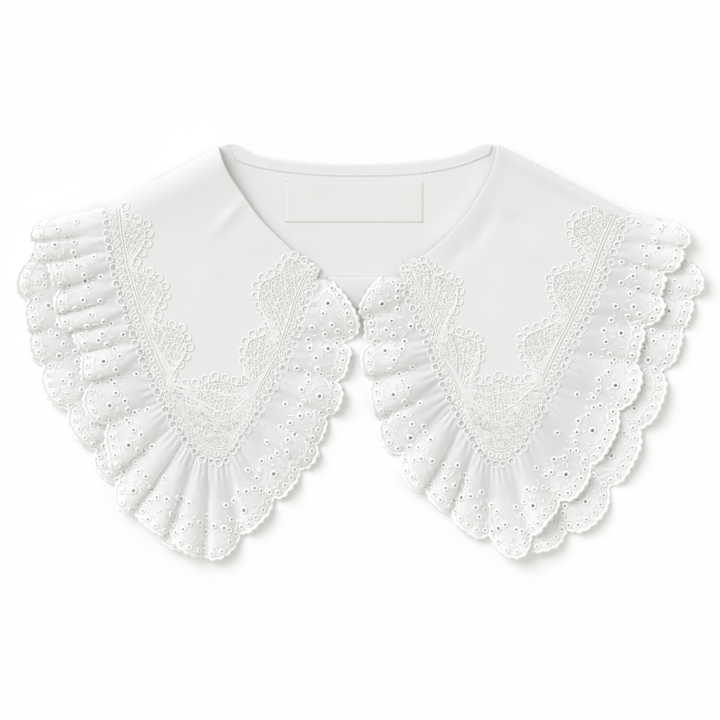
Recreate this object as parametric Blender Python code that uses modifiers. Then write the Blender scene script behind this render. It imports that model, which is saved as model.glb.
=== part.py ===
"""Statement collar laid flat: two pointed front wings over a back half, with lace bands and gathered eyelet ruffles.

The collar lies on the plane z = 0 with its neck towards +Y and its right wing at +X. The origin is the middle of
its bounding box, on that plane. Tables and named sizes are in millimetres and are turned to metres in one place.
"""
import bpy
import numpy as np

METRES_PER_MM = 0.001

# Cloth walls and the room between them
CLOTH = 1.2
RUFFLE_CLOTH = 1.0
LACE_CLOTH = 1.3
SEAM_GAP = 0.4
RUFFLE_SEAM_GAP = 0.8

# Heights of the layers' undersides above the table
FRONT_REST = 2.4
FOLD_EDGE_REST = CLOTH + SEAM_GAP
TAB_REST = CLOTH + SEAM_GAP

# The shoulder fold, where the front turns over on to the back
FOLD_RADIUS = 4.0
SHOULDER_PUFF = 2.6
SHOULDER_PUFF_REACH = 26.0
NECK_LIFT = 5.0
NECK_LIFT_REACH = 45.0

# The folds of a ruffle: how much wider a crest is than a trough, how far its sides stand up or hang over,
# and how round its scallop is
CREST_WIDENING = 0.45
FOLD_OVERHANG = 0.5
SCALLOP_ROUNDNESS = 0.7

# How steeply a ruffle drops off what lies below it, and how far from its seam the front one clears the back panel
HILL_FALL = 0.015
BACK_EDGE_REACH = (0, 19, 29)

# Neck edges of the wings, from the shoulder down to the centre front
NECK_LEFT = ((-84.6, 122), (-80, 109), (-71, 95), (-59, 78.5), (-47, 66.5), (-38, 58.5), (-30, 53.5), (-23, 49))
NECK_RIGHT = ((82, 123), (80, 111), (71, 93), (57, 74), (43, 61), (33, 54), (23, 50))

# Seams of the wings, from the shoulder round the point to the centre front
SEAM_LEFT = ((-152, 86), (-148, 55), (-138, 19), (-124, -17), (-108, -47), (-91, -65), (-83, -66),
             (-72, -53), (-53, -22), (-39, 7), (-30, 35), (-26, 43.5))
SEAM_RIGHT = ((161, 82), (151, 58), (142, 34), (126, 1), (109, -35), (95, -60), (87, -67), (79, -66),
              (68, -53), (52, -23), (38, 13), (28, 36), (24.5, 44))

# The back half lies further out than the wings, and its seams end under them at the centre
BACK_SEAM_LEFT = ((-152, 86), (-161, 52), (-149, 6), (-132, -31), (-110, -62), (-100, -69), (-90, -64),
                  (-66, -22), (-44, 12), (-30, 30), (-20, 36))
BACK_SEAM_RIGHT = ((161, 82), (164, 54), (149, 10), (130, -28), (111, -61), (101, -69), (90, -66),
                   (66, -24), (44, 12), (30, 30), (20, 36))
BACK_NECK = ((-84.6, 122), (-80, 124), (-60, 116.5), (-30, 112.5), (0, 112), (30, 113), (60, 118), (78, 124), (82, 123))

# The band and label inside the back neck
BAND_TOP = ((-77.5, 122.2), (-60, 116), (-30, 112), (0, 111.5), (30, 112.5), (60, 117.5), (74, 122))
BAND_FOOT = ((-74.5, 113.5), (-60, 109.5), (-30, 105.5), (0, 104.5), (30, 105.5), (60, 110.5), (75.5, 115.5))
LABEL_LEFT, LABEL_RIGHT, LABEL_TOP, LABEL_FOOT = -45, 38, 101.5, 77
LABEL_CLOTH = 1.0

# The closing tab at the centre front
TAB_TOP, TAB_FOOT = 44.5, 25
TAB_TOP_HALF, TAB_FOOT_HALF = 20, 12

# A ruffle's folds: where the crest leaves the seam (distance along it), where its hem lies, how high the fold
# stands, how far it leans along the hem for each unit of height, and how far the hem draws back after it
FOLD_COLUMNS = ("along", "hem_x", "hem_y", "height", "lean", "notch")
RUFFLE_LEFT = (
    (9, -196, 72, 7, 0.3, 3),
    (20, -194, 59, 6, 0.3, 3),
    (31, -184, 46, 8, 0.4, 6),
    (49, -182, 28, 7, 0.2, 2),
    (62, -180, 17, 8, 0.4, 6),
    (76, -169, 5, 6, 0.1, 2),
    (89, -166, -9, 9, 0.5, 8),
    (113, -164, -33, 6, 0.3, 9),
    (128, -150, -61, 9, 0.6, 9),
    (144, -145, -91, 9, 0.4, 5),
    (153, -127, -104, 9, 0.5, 7),
    (163, -103, -120, 9, 0.2, 2),
    (172, -83, -123, 6, 0.0, 5),
    (182, -59, -101, 7, -0.2, 5),
    (193, -42, -82, 7, -0.2, 4),
    (205, -27, -64, 7, -0.2, 4),
    (218, -23, -50, 5, 0.0, 5),
    (234, -12, -30, 8, -0.3, 6),
    (251, -8, -8, 6, 0.2, 9),
    (277, -2.5, 20, 9, 0.2, 4),
)
RUFFLE_LEFT_START = (0, -193, 78)
RUFFLE_LEFT_END = (300, -14, 41)

RUFFLE_RIGHT = (
    (9, 196, 69, 6, 0.1, 4),
    (25, 191, 53, 6, 0.2, 6),
    (36, 181, 39, 4, 0.1, 3),
    (50, 181, 24, 6, 0.2, 6),
    (79, 167, 2, 5, 0.1, 3),
    (98, 167, -20, 6, 0.2, 6),
    (122, 149, -56, 6, 0.2, 4),
    (142, 132, -83, 6, 0.2, 5),
    (158, 112, -101, 9, 0.2, 5),
    (171, 94, -123, 6, 0.0, 8),
    (183, 62, -106, 8, -0.3, 7),
    (197, 46, -92, 8, -0.3, 6),
    (212, 29, -79, 9, -0.4, 9),
    (223, 14, -53, 4, 0.0, 5),
    (237, 8, -32, 9, -0.2, 5),
    (252, 1.5, -5, 9, -0.4, 7),
    (270, 4, 12, 3, 0.0, 4),
    (292, 1.5, 28, 8, 0.3, 3),
)
RUFFLE_RIGHT_START = (0, 190, 77)
RUFFLE_RIGHT_END = (300, 11, 44)

BACK_RUFFLE_LEFT = (
    (14, -191, 67, 2, 0.0, 2),
    (37, -204.8, 42, 6, 0.0, 6),
    (62, -199, 18, 6, 0.2, 2),
    (78, -197, 2, 5, 0.2, 6),
    (102, -188, -24, 6, 0.2, 7),
    (126, -170, -50, 6, 0.2, 7),
    (146, -155, -73, 5, 0.2, 6),
    (162, -136, -92, 2, 0.0, 2),
    (174, -113, -117, 6, 0.0, 6),
    (184, -88, -116, 2, 0.0, 3),
    (198, -62, -88, 1, 0.0, 3),
    (222, -42, -58, 1, 0.0, 3),
    (246, -29, -28, 1, 0.0, 3),
    (268, -24, 0, 1, 0.0, 3),
)
BACK_RUFFLE_LEFT_START = (2, -186, 74)
BACK_RUFFLE_LEFT_END = (284, -22, 18)

BACK_RUFFLE_RIGHT = (
    (14, 190, 63, 2, 0.0, 2),
    (35, 204.8, 42, 6, 0.0, 6),
    (60, 197, 21, 5, 0.2, 2),
    (80, 191, 3, 6, 0.2, 7),
    (106, 180, -31, 5, 0.2, 6),
    (130, 163, -67, 5, 0.2, 7),
    (156, 142, -101, 6, 0.2, 7),
    (172, 110, -119, 5, 0.0, 4),
    (184, 84, -114, 2, 0.0, 3),
    (198, 62, -90, 1, 0.0, 3),
    (222, 42, -60, 1, 0.0, 3),
    (246, 29, -28, 1, 0.0, 3),
    (268, 24, 0, 1, 0.0, 3),
)
BACK_RUFFLE_RIGHT_START = (2, 187, 71)
BACK_RUFFLE_RIGHT_END = (286, 22, 18)

# Share of a fold's full height at each share of the ruffle's depth, for the front and for the back, whose folds
# are pressed flat where the front lies on them
LIFT_DEPTH = (0.0, 0.12, 0.3, 0.55, 0.8, 1.0)
FRONT_LIFT = (0.1, 0.3, 0.65, 0.95, 1.0, 0.95)
BACK_LIFT = (0.05, 0.1, 0.12, 0.25, 0.8, 1.0)

# Rows across the cloth, as shares of its depth from the neck or seam, and columns along it
FRONT_RUFFLE_ROWS = (0.0, 0.14, 0.33, 0.55, 0.78, 1.0)
BACK_RUFFLE_ROWS = (0.0, 0.2, 0.45, 0.72, 1.0)
COLUMNS_PER_FRONT_FOLD = 8
COLUMNS_PER_BACK_FOLD = 6
WING_ROWS = (0.0, 0.12, 0.3, 0.55, 0.8, 1.0)
WING_FOLD_COLUMNS = (0.0, 0.8, 2.2, 4.0, 9.0)
WING_COLUMNS = 39
COLUMN_SPREAD = 0.45
BACK_ROWS = (0.0, 0.35, 0.7, 1.0)
BACK_COLUMNS = 25

# Lace: the fans along a wing's seam, each with its middle's distance along it, its reach in from the seam and
# half its width, and the band's own width between them
FAN_COLUMNS = ("along", "reach", "half_width")
LACE_FANS_LEFT = ((16, 27, 17), (49, 30, 17), (86, 30, 20), (132, 40, 24), (168, 53, 22), (206, 38, 22),
                  (247, 31, 18), (283, 32, 17))
LACE_FANS_RIGHT = ((14, 29, 16), (47, 31, 18), (84, 31, 20), (132, 40, 24), (168, 52, 22), (206, 38, 22),
                   (246, 31, 18), (281, 32, 16))
LACE_BAND = 19.0
LACE_END_MARGIN = 3.5
LACE_COLUMNS = 56
LACE_ROWS = (0.0, 0.5, 1.0)

# Colours (linear), roughness
COTTON = (0.80, 0.80, 0.79)
EYELET_COTTON = (0.78, 0.78, 0.77)
LACE_THREAD = (0.84, 0.84, 0.82)
LABEL_SATIN = (0.82, 0.81, 0.78)


def spline(knots, values, at):
    """Cubic through the values at the knots, each knot's slope taken from its neighbours."""
    knots = np.asarray(knots, float)
    values = np.asarray(values, float)
    slopes = np.gradient(values, knots, axis=0)
    at = np.clip(at, knots[0], knots[-1])
    left = np.clip(np.searchsorted(knots, at, side="right") - 1, 0, len(knots) - 2)
    width = knots[left + 1] - knots[left]
    x = (at - knots[left]) / width
    weights = [2 * x**3 - 3 * x**2 + 1, (x**3 - 2 * x**2 + x) * width, 3 * x**2 - 2 * x**3, (x**3 - x**2) * width]
    if values.ndim == 2:
        weights = [weight[..., None] for weight in weights]
    return (weights[0] * values[left] + weights[1] * slopes[left]
            + weights[2] * values[left + 1] + weights[3] * slopes[left + 1])


class Line:
    """A smooth line through points in plan, read by the distance along it."""

    def __init__(self, points):
        points = np.array(points, float)
        chords = np.linalg.norm(np.diff(points, axis=0), axis=1)
        knots = np.concatenate([[0], np.cumsum(chords)])
        self.track = spline(knots, points, np.linspace(0, knots[-1], 600))
        steps = np.linalg.norm(np.diff(self.track, axis=0), axis=1)
        self.distance = np.concatenate([[0], np.cumsum(steps)])
        self.length = self.distance[-1]

    def at(self, distance):
        return np.stack([np.interp(distance, self.distance, self.track[:, axis]) for axis in range(2)], axis=-1)

    def across(self, distance):
        """Unit arrows square to the line, to the left of its direction."""
        middle = np.clip(distance, 1, self.length - 1)
        ahead = self.at(middle + 1) - self.at(middle - 1)
        return np.stack([-ahead[..., 1], ahead[..., 0]], axis=-1) / np.linalg.norm(ahead, axis=-1)[..., None]


def columns(names, table):
    """The columns of a table as named arrays."""
    return dict(zip(names, np.array(table, float).T))


def front_height(plan, corner, shoulder):
    """Underside of a wing above a point in plan: it turns up from the shoulder fold as a quarter round, stands
    highest at the neck's corner, and settles to its rest with the distance from the fold and from the corner."""
    fold = (shoulder - corner) / np.linalg.norm(shoulder - corner)
    from_fold = np.abs((plan[..., 0] - corner[0]) * fold[1] - (plan[..., 1] - corner[1]) * fold[0])
    from_corner = np.linalg.norm(plan - corner, axis=-1)
    roll = np.sqrt(1 - (1 - np.clip(from_fold / FOLD_RADIUS, 0, 1)) ** 2)
    puff = SHOULDER_PUFF * np.exp(-from_fold / SHOULDER_PUFF_REACH)
    lift = NECK_LIFT * np.exp(-((from_corner / NECK_LIFT_REACH) ** 2))
    return FOLD_EDGE_REST + (FRONT_REST - FOLD_EDGE_REST + puff + lift) * roll


def wing_points(neck, seam, share, fold_distance, depth):
    """Points of a wing's underside: each column joins the neck edge to the seam. fold_distance is added to both,
    so that the columns at the shoulder stay parallel to the fold, and at the centre front they spread apart."""
    neck_at = fold_distance + share * (1 - COLUMN_SPREAD * (1 - share)) * (neck.length - fold_distance)
    seam_at = fold_distance + share * (seam.length - fold_distance)
    plan = neck.at(neck_at) * (1 - depth)[..., None] + seam.at(seam_at) * depth[..., None]
    height = front_height(plan, neck.at(0), seam.at(0))
    return np.concatenate([plan, height[..., None]], axis=-1)


def ruffle_points(seam, folds, start, end, lift, rows, per_fold, below=None):
    """Underside of a ruffle, a row for each depth. A fold is one turn of a phase: its height follows the cosine,
    and its cloth runs ahead along the hem so that the crest is broad and its sides stand up. The hem draws back
    between the crests in scallops. Where a layer lies below, the ruffle is raised to clear it."""
    fold = columns(FOLD_COLUMNS, folds)
    count = len(fold["along"])
    knots = np.concatenate([[-0.5], np.arange(count), [count - 0.5]])
    along = np.concatenate([[start[0]], fold["along"], [end[0]]])
    hem = np.column_stack([np.concatenate([[start[1]], fold["hem_x"], [end[1]]]),
                           np.concatenate([[start[2]], fold["hem_y"], [end[2]]])])
    turn, depth = np.meshgrid(np.linspace(-0.5, count - 0.5, count * per_fold + 1), rows)
    phase = 2 * np.pi * turn
    raised = np.interp(depth, LIFT_DEPTH, lift)
    height = np.interp(turn, np.arange(count), fold["height"]) * raised * (0.5 + 0.5 * np.cos(phase))
    lean = np.interp(turn, np.arange(count), fold["lean"]) * height
    pitch = np.linalg.norm(spline(knots, hem, turn + 0.25) - spline(knots, hem, turn - 0.25), axis=-1) * 2
    ahead = (FOLD_OVERHANG * np.sin(2 * phase) + CREST_WIDENING * np.sin(phase)) / (2 * np.pi)
    moved = turn + ahead * raised + lean / np.maximum(pitch, 1)
    sewn = spline(knots, along, moved)
    hem = spline(knots, hem, moved)
    outward = seam.across(sewn)
    outward *= np.sign((outward * (hem - seam.at(sewn))).sum())
    root = seam.at(sewn) + outward * RUFFLE_SEAM_GAP
    reach = hem - root
    length = np.linalg.norm(reach, axis=-1)
    notch = np.interp(turn, np.arange(count) + 0.5, fold["notch"])
    drawn_back = notch * (1 - np.abs(np.cos(phase / 2)) ** SCALLOP_ROUNDNESS) * depth**2 / length
    share = depth * (1 - drawn_back)
    plan = root + reach * share[..., None]
    rest = resting_height(plan, share * length, below)
    return np.concatenate([plan, (height + rest)[..., None]], axis=-1)


def resting_height(plan, from_seam, below):
    """Height of the troughs: on the table, or on the layers below. The front's seam starts at the wing's height,
    clears the back panel's edge and runs down to the table. Each point of the back ruffle's upper face, given as
    below, stands as a blunt hill under the front ruffle, and so does the closing tab."""
    if below is None:
        return np.zeros(plan.shape[:2])
    sinking = np.interp(from_seam, BACK_EDGE_REACH, (FRONT_REST, CLOTH + SEAM_GAP, 0))
    apart = ((plan[:, :, None, :] - below[None, None, :, :2]) ** 2).sum(axis=-1)
    hills = (below[None, None, :, 2] - HILL_FALL * apart).max(axis=-1)
    on_tab = np.clip(plan, (-TAB_TOP_HALF, TAB_FOOT), (TAB_TOP_HALF, TAB_TOP))
    tab_hill = TAB_REST + RUFFLE_CLOTH - HILL_FALL * ((plan - on_tab) ** 2).sum(axis=-1)
    return np.maximum(sinking, np.maximum(hills, tab_hill) + SEAM_GAP)


def denser(points, times):
    """A grid's rows with straight ones added between them."""
    last = len(points) - 1
    at = np.linspace(0, last, last * times + 1)
    lower = np.minimum(at.astype(int), last - 1)
    share = (at - lower)[:, None, None]
    return points[lower] * (1 - share) + points[lower + 1] * share


def upper_face(points, wall):
    """Points spread densely over a cloth's upper face, from its underside's grid."""
    along = np.gradient(points, axis=1)
    across = np.gradient(points, axis=0)
    up = np.cross(along, across)
    up *= np.sign(up[..., 2].sum()) / np.linalg.norm(up, axis=-1)[..., None]
    upper = denser(points + up * wall, 4)
    return denser(upper.swapaxes(0, 1), 2).reshape(-1, 3)


def lace_points(wing, fans, seam_length):
    """Underside of a lace band: it lies on its wing, from the seam in to a line of fans."""
    fan = columns(FAN_COLUMNS, fans)
    along = np.linspace(LACE_END_MARGIN, seam_length - LACE_END_MARGIN, LACE_COLUMNS)
    across = np.clip(np.abs(along[:, None] - fan["along"]) / fan["half_width"], 0, 1)
    width = (LACE_BAND + (fan["reach"] - LACE_BAND) * np.sqrt(1 - across**2)).max(axis=1)
    neck, seam = wing
    share = along / seam.length
    edges = [wing_points(neck, seam, share, 0, np.full_like(share, depth))[:, :2] for depth in (0, 1)]
    line = np.linalg.norm(edges[1] - edges[0], axis=-1)
    width = np.minimum(width, line * 0.85)
    share, row = np.meshgrid(share, LACE_ROWS)
    depth = 1 - (SEAM_GAP + row * (width - SEAM_GAP)) / line
    points = wing_points(neck, seam, share, 0, depth)
    points[..., 2] += CLOTH + SEAM_GAP
    return points


def make_material(name, colour, roughness):
    material = bpy.data.materials.new(name)
    material.use_nodes = True
    shader = material.node_tree.nodes["Principled BSDF"]
    shader.inputs["Base Color"].default_value = (*colour, 1.0)
    shader.inputs["Roughness"].default_value = roughness
    shader.inputs["Metallic"].default_value = 0.0
    return material


def make_cloth(collection, name, points, wall, material):
    """A cloth wall from a grid of underside points in millimetres. Its faces look up, and the wall stands on them."""
    rows, count = points.shape[:2]
    index = np.arange(rows * count).reshape(rows, count)
    faces = np.stack([index[:-1, :-1], index[:-1, 1:], index[1:, 1:], index[1:, :-1]], axis=-1).reshape(-1, 4)
    along = points[:-1, 1:] - points[:-1, :-1]
    across = points[1:, :-1] - points[:-1, :-1]
    if np.cross(along, across)[..., 2].sum() < 0:
        faces = faces[:, ::-1]
    mesh = bpy.data.meshes.new(name)
    mesh.from_pydata((points.reshape(-1, 3) * METRES_PER_MM).tolist(), [], faces.tolist())
    mesh.materials.append(material)
    mesh.shade_smooth()
    piece = bpy.data.objects.new(name, mesh)
    collection.objects.link(piece)
    thickness = piece.modifiers.new("cloth thickness", "SOLIDIFY")
    thickness.thickness = wall * METRES_PER_MM
    thickness.offset = 1.0
    return piece


def between(first, second, count, rest):
    """Points between two lines in plan, at one height."""
    share = np.linspace(0, 1, count)
    edges = [line.at(share * line.length) for line in (first, second)]
    plan = np.stack([edges[0], edges[1]])
    return np.concatenate([plan, np.full(plan.shape[:2] + (1,), rest)], axis=-1)


def wing_grid(neck, seam):
    """A wing's grid: close columns over the shoulder fold, then even ones."""
    close = np.array(WING_FOLD_COLUMNS)
    share = np.concatenate([np.zeros(len(close) - 1), np.linspace(0, 1, WING_COLUMNS)])
    fold_distance = np.concatenate([close[:-1], np.full(WING_COLUMNS, close[-1])])
    share, depth = np.meshgrid(share, WING_ROWS)
    return wing_points(neck, seam, share, np.broadcast_to(fold_distance, share.shape), depth)


def back_points(seam_left, seam_right):
    """The back panel's underside: each column joins the shoulders and neck above to the seams below."""
    neck = Line(BACK_NECK)
    shares = np.linspace(0, 1, BACK_COLUMNS)
    upper_left = back_upper(SEAM_LEFT[0], BACK_NECK[0], neck, shares, 0, 0.5)
    upper_right = back_upper(SEAM_RIGHT[0], BACK_NECK[-1], neck, shares, 1, 0.5)
    lower_left = seam_left.at(shares * seam_left.length)
    lower_right = seam_right.at(shares * seam_right.length)
    upper = np.concatenate([upper_left, upper_right[-2::-1]])
    lower = np.concatenate([lower_left, [[0, lower_left[-1, 1]]], lower_right[::-1]])
    upper = np.insert(upper, BACK_COLUMNS - 1, (upper_left[-2] + 3 * upper_left[-1]) / 4, axis=0)
    upper = np.insert(upper, BACK_COLUMNS + 1, (upper_right[-2] + 3 * upper_right[-1]) / 4, axis=0)
    rows = np.array(BACK_ROWS)[:, None, None]
    plan = upper[None] * (1 - rows) + lower[None] * rows
    return np.concatenate([plan, np.zeros(plan.shape[:2] + (1,))], axis=-1)


def back_upper(shoulder_end, corner, neck, shares, first, last):
    """The upper edge of half the back: along the shoulder to the neck's corner, then along the neck."""
    turn = 0.45
    on_shoulder = np.clip(shares / turn, 0, 1)[:, None]
    on_neck = np.clip((shares - turn) / (1 - turn), 0, 1)
    shoulder = np.array(shoulder_end) * (1 - on_shoulder) + np.array(corner) * on_shoulder
    curve = neck.at((first + (last - first) * on_neck) * neck.length)
    return np.where(shares[:, None] <= turn, shoulder, curve)


def main():
    for old in list(bpy.data.objects):
        bpy.data.objects.remove(old)
    collection = bpy.data.collections.new("statement_collar")
    bpy.context.scene.collection.children.link(collection)

    cotton = make_material("cotton", COTTON, 0.75)
    eyelet_cotton = make_material("eyelet_cotton", EYELET_COTTON, 0.8)
    lace_thread = make_material("lace_thread", LACE_THREAD, 0.7)
    label_satin = make_material("label_satin", LABEL_SATIN, 0.45)

    back_seams = [Line(BACK_SEAM_LEFT), Line(BACK_SEAM_RIGHT)]
    make_cloth(collection, "back_panel", back_points(*back_seams), CLOTH, cotton)
    band = between(Line(BAND_TOP), Line(BAND_FOOT), 17, CLOTH + SEAM_GAP)
    make_cloth(collection, "back_neck_band", band, CLOTH, cotton)
    label = between(Line(((LABEL_LEFT, LABEL_TOP), (LABEL_RIGHT, LABEL_TOP))),
                    Line(((LABEL_LEFT, LABEL_FOOT), (LABEL_RIGHT, LABEL_FOOT))), 2, CLOTH + SEAM_GAP)
    make_cloth(collection, "label", label, LABEL_CLOTH, label_satin)
    tab = between(Line(((-TAB_TOP_HALF, TAB_TOP), (TAB_TOP_HALF, TAB_TOP))),
                  Line(((-TAB_FOOT_HALF, TAB_FOOT), (TAB_FOOT_HALF, TAB_FOOT))), 5, TAB_REST)
    make_cloth(collection, "front_tab", tab, RUFFLE_CLOTH, cotton)

    sides = (
        ("left", NECK_LEFT, SEAM_LEFT, LACE_FANS_LEFT, RUFFLE_LEFT, RUFFLE_LEFT_START, RUFFLE_LEFT_END,
         back_seams[0], BACK_RUFFLE_LEFT, BACK_RUFFLE_LEFT_START, BACK_RUFFLE_LEFT_END),
        ("right", NECK_RIGHT, SEAM_RIGHT, LACE_FANS_RIGHT, RUFFLE_RIGHT, RUFFLE_RIGHT_START, RUFFLE_RIGHT_END,
         back_seams[1], BACK_RUFFLE_RIGHT, BACK_RUFFLE_RIGHT_START, BACK_RUFFLE_RIGHT_END),
    )
    for (side, neck, seam, fans, folds, start, end, back_seam, back_folds, back_start, back_end) in sides:
        neck = Line(neck)
        seam = Line(seam)
        below = ruffle_points(back_seam, back_folds, back_start, back_end, BACK_LIFT, BACK_RUFFLE_ROWS,
                              COLUMNS_PER_BACK_FOLD)
        make_cloth(collection, f"back_ruffle_{side}", below, RUFFLE_CLOTH, eyelet_cotton)
        make_cloth(collection, f"front_{side}", wing_grid(neck, seam), CLOTH, cotton)
        make_cloth(collection, f"lace_{side}", lace_points((neck, seam), fans, seam.length), LACE_CLOTH, lace_thread)
        below = upper_face(below, RUFFLE_CLOTH)
        above = ruffle_points(seam, folds, start, end, FRONT_LIFT, FRONT_RUFFLE_ROWS, COLUMNS_PER_FRONT_FOLD, below)
        make_cloth(collection, f"ruffle_{side}", above, RUFFLE_CLOTH, eyelet_cotton)


if __name__ == "__main__":
    main()
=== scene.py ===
"""Looks of a statement collar laid flat: cotton wings, lace bands and gathered eyelet ruffles.

Everything is in metres in the mesh. Tables and named sizes are in millimetres unless their comment says
otherwise, in the same frame as the CAD: the neck towards +Y, the right wing at +X, the table at z = 0.
"""
import math
from collections import namedtuple

import bpy
import numpy as np
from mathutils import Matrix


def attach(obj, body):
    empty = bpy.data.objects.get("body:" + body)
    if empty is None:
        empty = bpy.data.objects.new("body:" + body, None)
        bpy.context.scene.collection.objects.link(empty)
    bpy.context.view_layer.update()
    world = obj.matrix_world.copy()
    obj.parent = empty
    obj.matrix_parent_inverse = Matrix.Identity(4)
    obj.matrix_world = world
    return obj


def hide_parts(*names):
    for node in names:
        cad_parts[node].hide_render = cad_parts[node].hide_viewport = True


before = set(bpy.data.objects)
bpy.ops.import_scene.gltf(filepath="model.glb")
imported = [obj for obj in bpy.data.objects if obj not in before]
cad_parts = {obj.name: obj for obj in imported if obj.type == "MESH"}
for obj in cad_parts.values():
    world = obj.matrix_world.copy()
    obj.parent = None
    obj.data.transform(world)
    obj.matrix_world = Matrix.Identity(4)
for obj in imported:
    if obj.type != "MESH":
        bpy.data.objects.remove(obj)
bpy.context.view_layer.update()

bl_info = {
    "name": "Statement collar",
    "version": (1, 0, 0),
    "blender": (4, 5, 0),
    "location": "View3D > Sidebar > Collar",
    "description": "Cotton, lace and eyelet ruffles of a statement collar",
    "category": "Object",
}

MM = 0.001

# Walls of the layers
CLOTH = 1.2
LINING = 1.0
BAND_WALL = 0.6
LABEL_WALL = 0.8
TAB_WALL = 0.9
RUFFLE_WALL = 0.35

# Heights of the layers' undersides above the table, and the gaps between layers
LINING_REST = 0.02
FRONT_REST = 2.4
FOLD_EDGE_REST = 1.6
TAB_REST = 1.6
RUFFLE_REST = 0.05
LAYER_GAP = 0.3
SEWN_GAP = 0.03
TABLE_GAP = 0.02
# How far the lining rises to the right wing's neck edge
LINING_RISE = 1.4

# Folds of the ruffles: how far a crest widens and hangs over, as shares of a fold, the share of the solids'
# height that the thin cloth settles to, and how round the hem is between crests
CREST_WIDENING = 0.45
FOLD_OVERHANG = 0.2
FOLD_SETTLING = 0.64
SCALLOP_ROUNDNESS = 0.7
# Slow lift of the front and back hems, and the distance along the hem after which it repeats
HEM_LIFT = 1.2
BACK_HEM_LIFT = 3.0
HEM_LIFT_REPEAT = 105.0
# A front ruffle rests on the back panel's edge up to the second distance out from its seam, and on the table
# from the third one on: the distances, and the cloth's height at each
BACK_EDGE_REACH = (0, 19, 29)
BACK_EDGE_HEIGHTS = (1.55, 1.55, 0.05)
# Depth, as a share of the way to the hem, at which the cloth's length is measured
HEM_MEASURED_AT = 0.85
# Lift of the front ruffle's sewn edge above the wing's underside
SEWN_EDGE_LIFT = 0.4
# Fine gathers beside the seam: spacing, height, and the share of that height in the back ruffles
GATHER_SPACING = 8.6
GATHER_HEIGHT = 0.5
BACK_GATHERS = 0.35
# Small bumps of the scalloped hem: spacing, and how far they stand out
HEM_BUMP = 4.6
HEM_BUMP_DEPTH = 0.9
# Cell of the ruffles' grid, and how steeply the hills of a bed fall
CELL = 1.15
RUFFLE_FALL = 0.02
SEWN_EDGE_FALL = 0.2

# Wings: how much closer columns stand near the neck's corner, how sharp the puff beside the fold is, where
# the neck edge's lift fades out, and the columns' distances from the fold where the cloth turns round it
COLUMN_SPREAD = 0.45
PUFF_SHARPNESS = 1.7
NECK_ROLL_END = 20
NEAR_FOLD = (0.0, 0.3, 0.8, 1.5, 2.4, 3.4, 4.6, 6.2, 8.0)
# Share of the back's upper row that lies on the shoulder
SHOULDER_SHARE = 0.45
# Angle at which a turned edge reads as an edge and not as a curve
SHARP_EDGE = math.radians(60)

# Form of each wing: radius of the shoulder fold, height of the puff beside it and its crest's distance from
# the fold, lift at the neck's corner and its reach, lift along the neck edge and its reach
FORM_COLUMNS = ("fold_radius", "puff", "crest", "lift", "lift_reach", "roll", "roll_reach")
FORM_LEFT = (4.0, 2.6, 10.0, 3.7, 40.0, 1.4, 13.0)
FORM_RIGHT = (1.5, 1.8, 3.0, 3.2, 40.0, 1.3, 6.5)

# Outlines: neck edges and seams of the wings, seams of the back
NECK_LEFT = ((-84.6, 122), (-80, 109), (-71, 95), (-59, 78.5), (-47, 66.5), (-38, 58.5), (-30, 53.5),
             (-23, 49))
NECK_RIGHT = ((82, 123), (80, 111), (71, 93), (57, 74), (43, 61), (33, 54), (23, 50))
SEAM_LEFT = ((-152, 86), (-148, 55), (-138, 19), (-124, -17), (-108, -47), (-91, -65), (-83, -66),
             (-72, -53), (-53, -22), (-39, 7), (-30, 35), (-26, 43.5))
SEAM_RIGHT = ((161, 82), (151, 58), (142, 34), (126, 1), (109, -35), (95, -60), (87, -67), (79, -66),
              (68, -53), (52, -23), (38, 13), (28, 36), (24.5, 44))
BACK_SEAM_LEFT = ((-152, 86), (-161, 52), (-149, 6), (-132, -31), (-110, -62), (-100, -69), (-90, -64),
                  (-66, -22), (-44, 12), (-30, 30), (-20, 36))
BACK_SEAM_RIGHT = ((161, 82), (164, 54), (149, 10), (130, -28), (111, -61), (101, -69), (90, -66),
                   (66, -24), (44, 12), (30, 30), (20, 36))
BACK_NECK = ((-84.6, 122), (-80, 124), (-60, 116.5), (-30, 112.5), (0, 112), (30, 113), (60, 118),
             (78, 124), (82, 123))
BAND_TOP = ((-79, 123.4), (-60, 116.5), (-30, 112.4), (0, 111.9), (30, 112.9), (60, 117.9), (80, 123.7))
BAND_FOOT = ((-74.5, 113.5), (-60, 109.5), (-30, 105.5), (0, 104.5), (30, 105.5), (60, 110.5), (78.5, 117.6))
LABEL_LEFT, LABEL_RIGHT, LABEL_TOP, LABEL_FOOT = -45, 38, 101.5, 77
TAB_TOP, TAB_FOOT, TAB_TOP_HALF, TAB_FOOT_HALF = 44.5, 25, 20, 12

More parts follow.
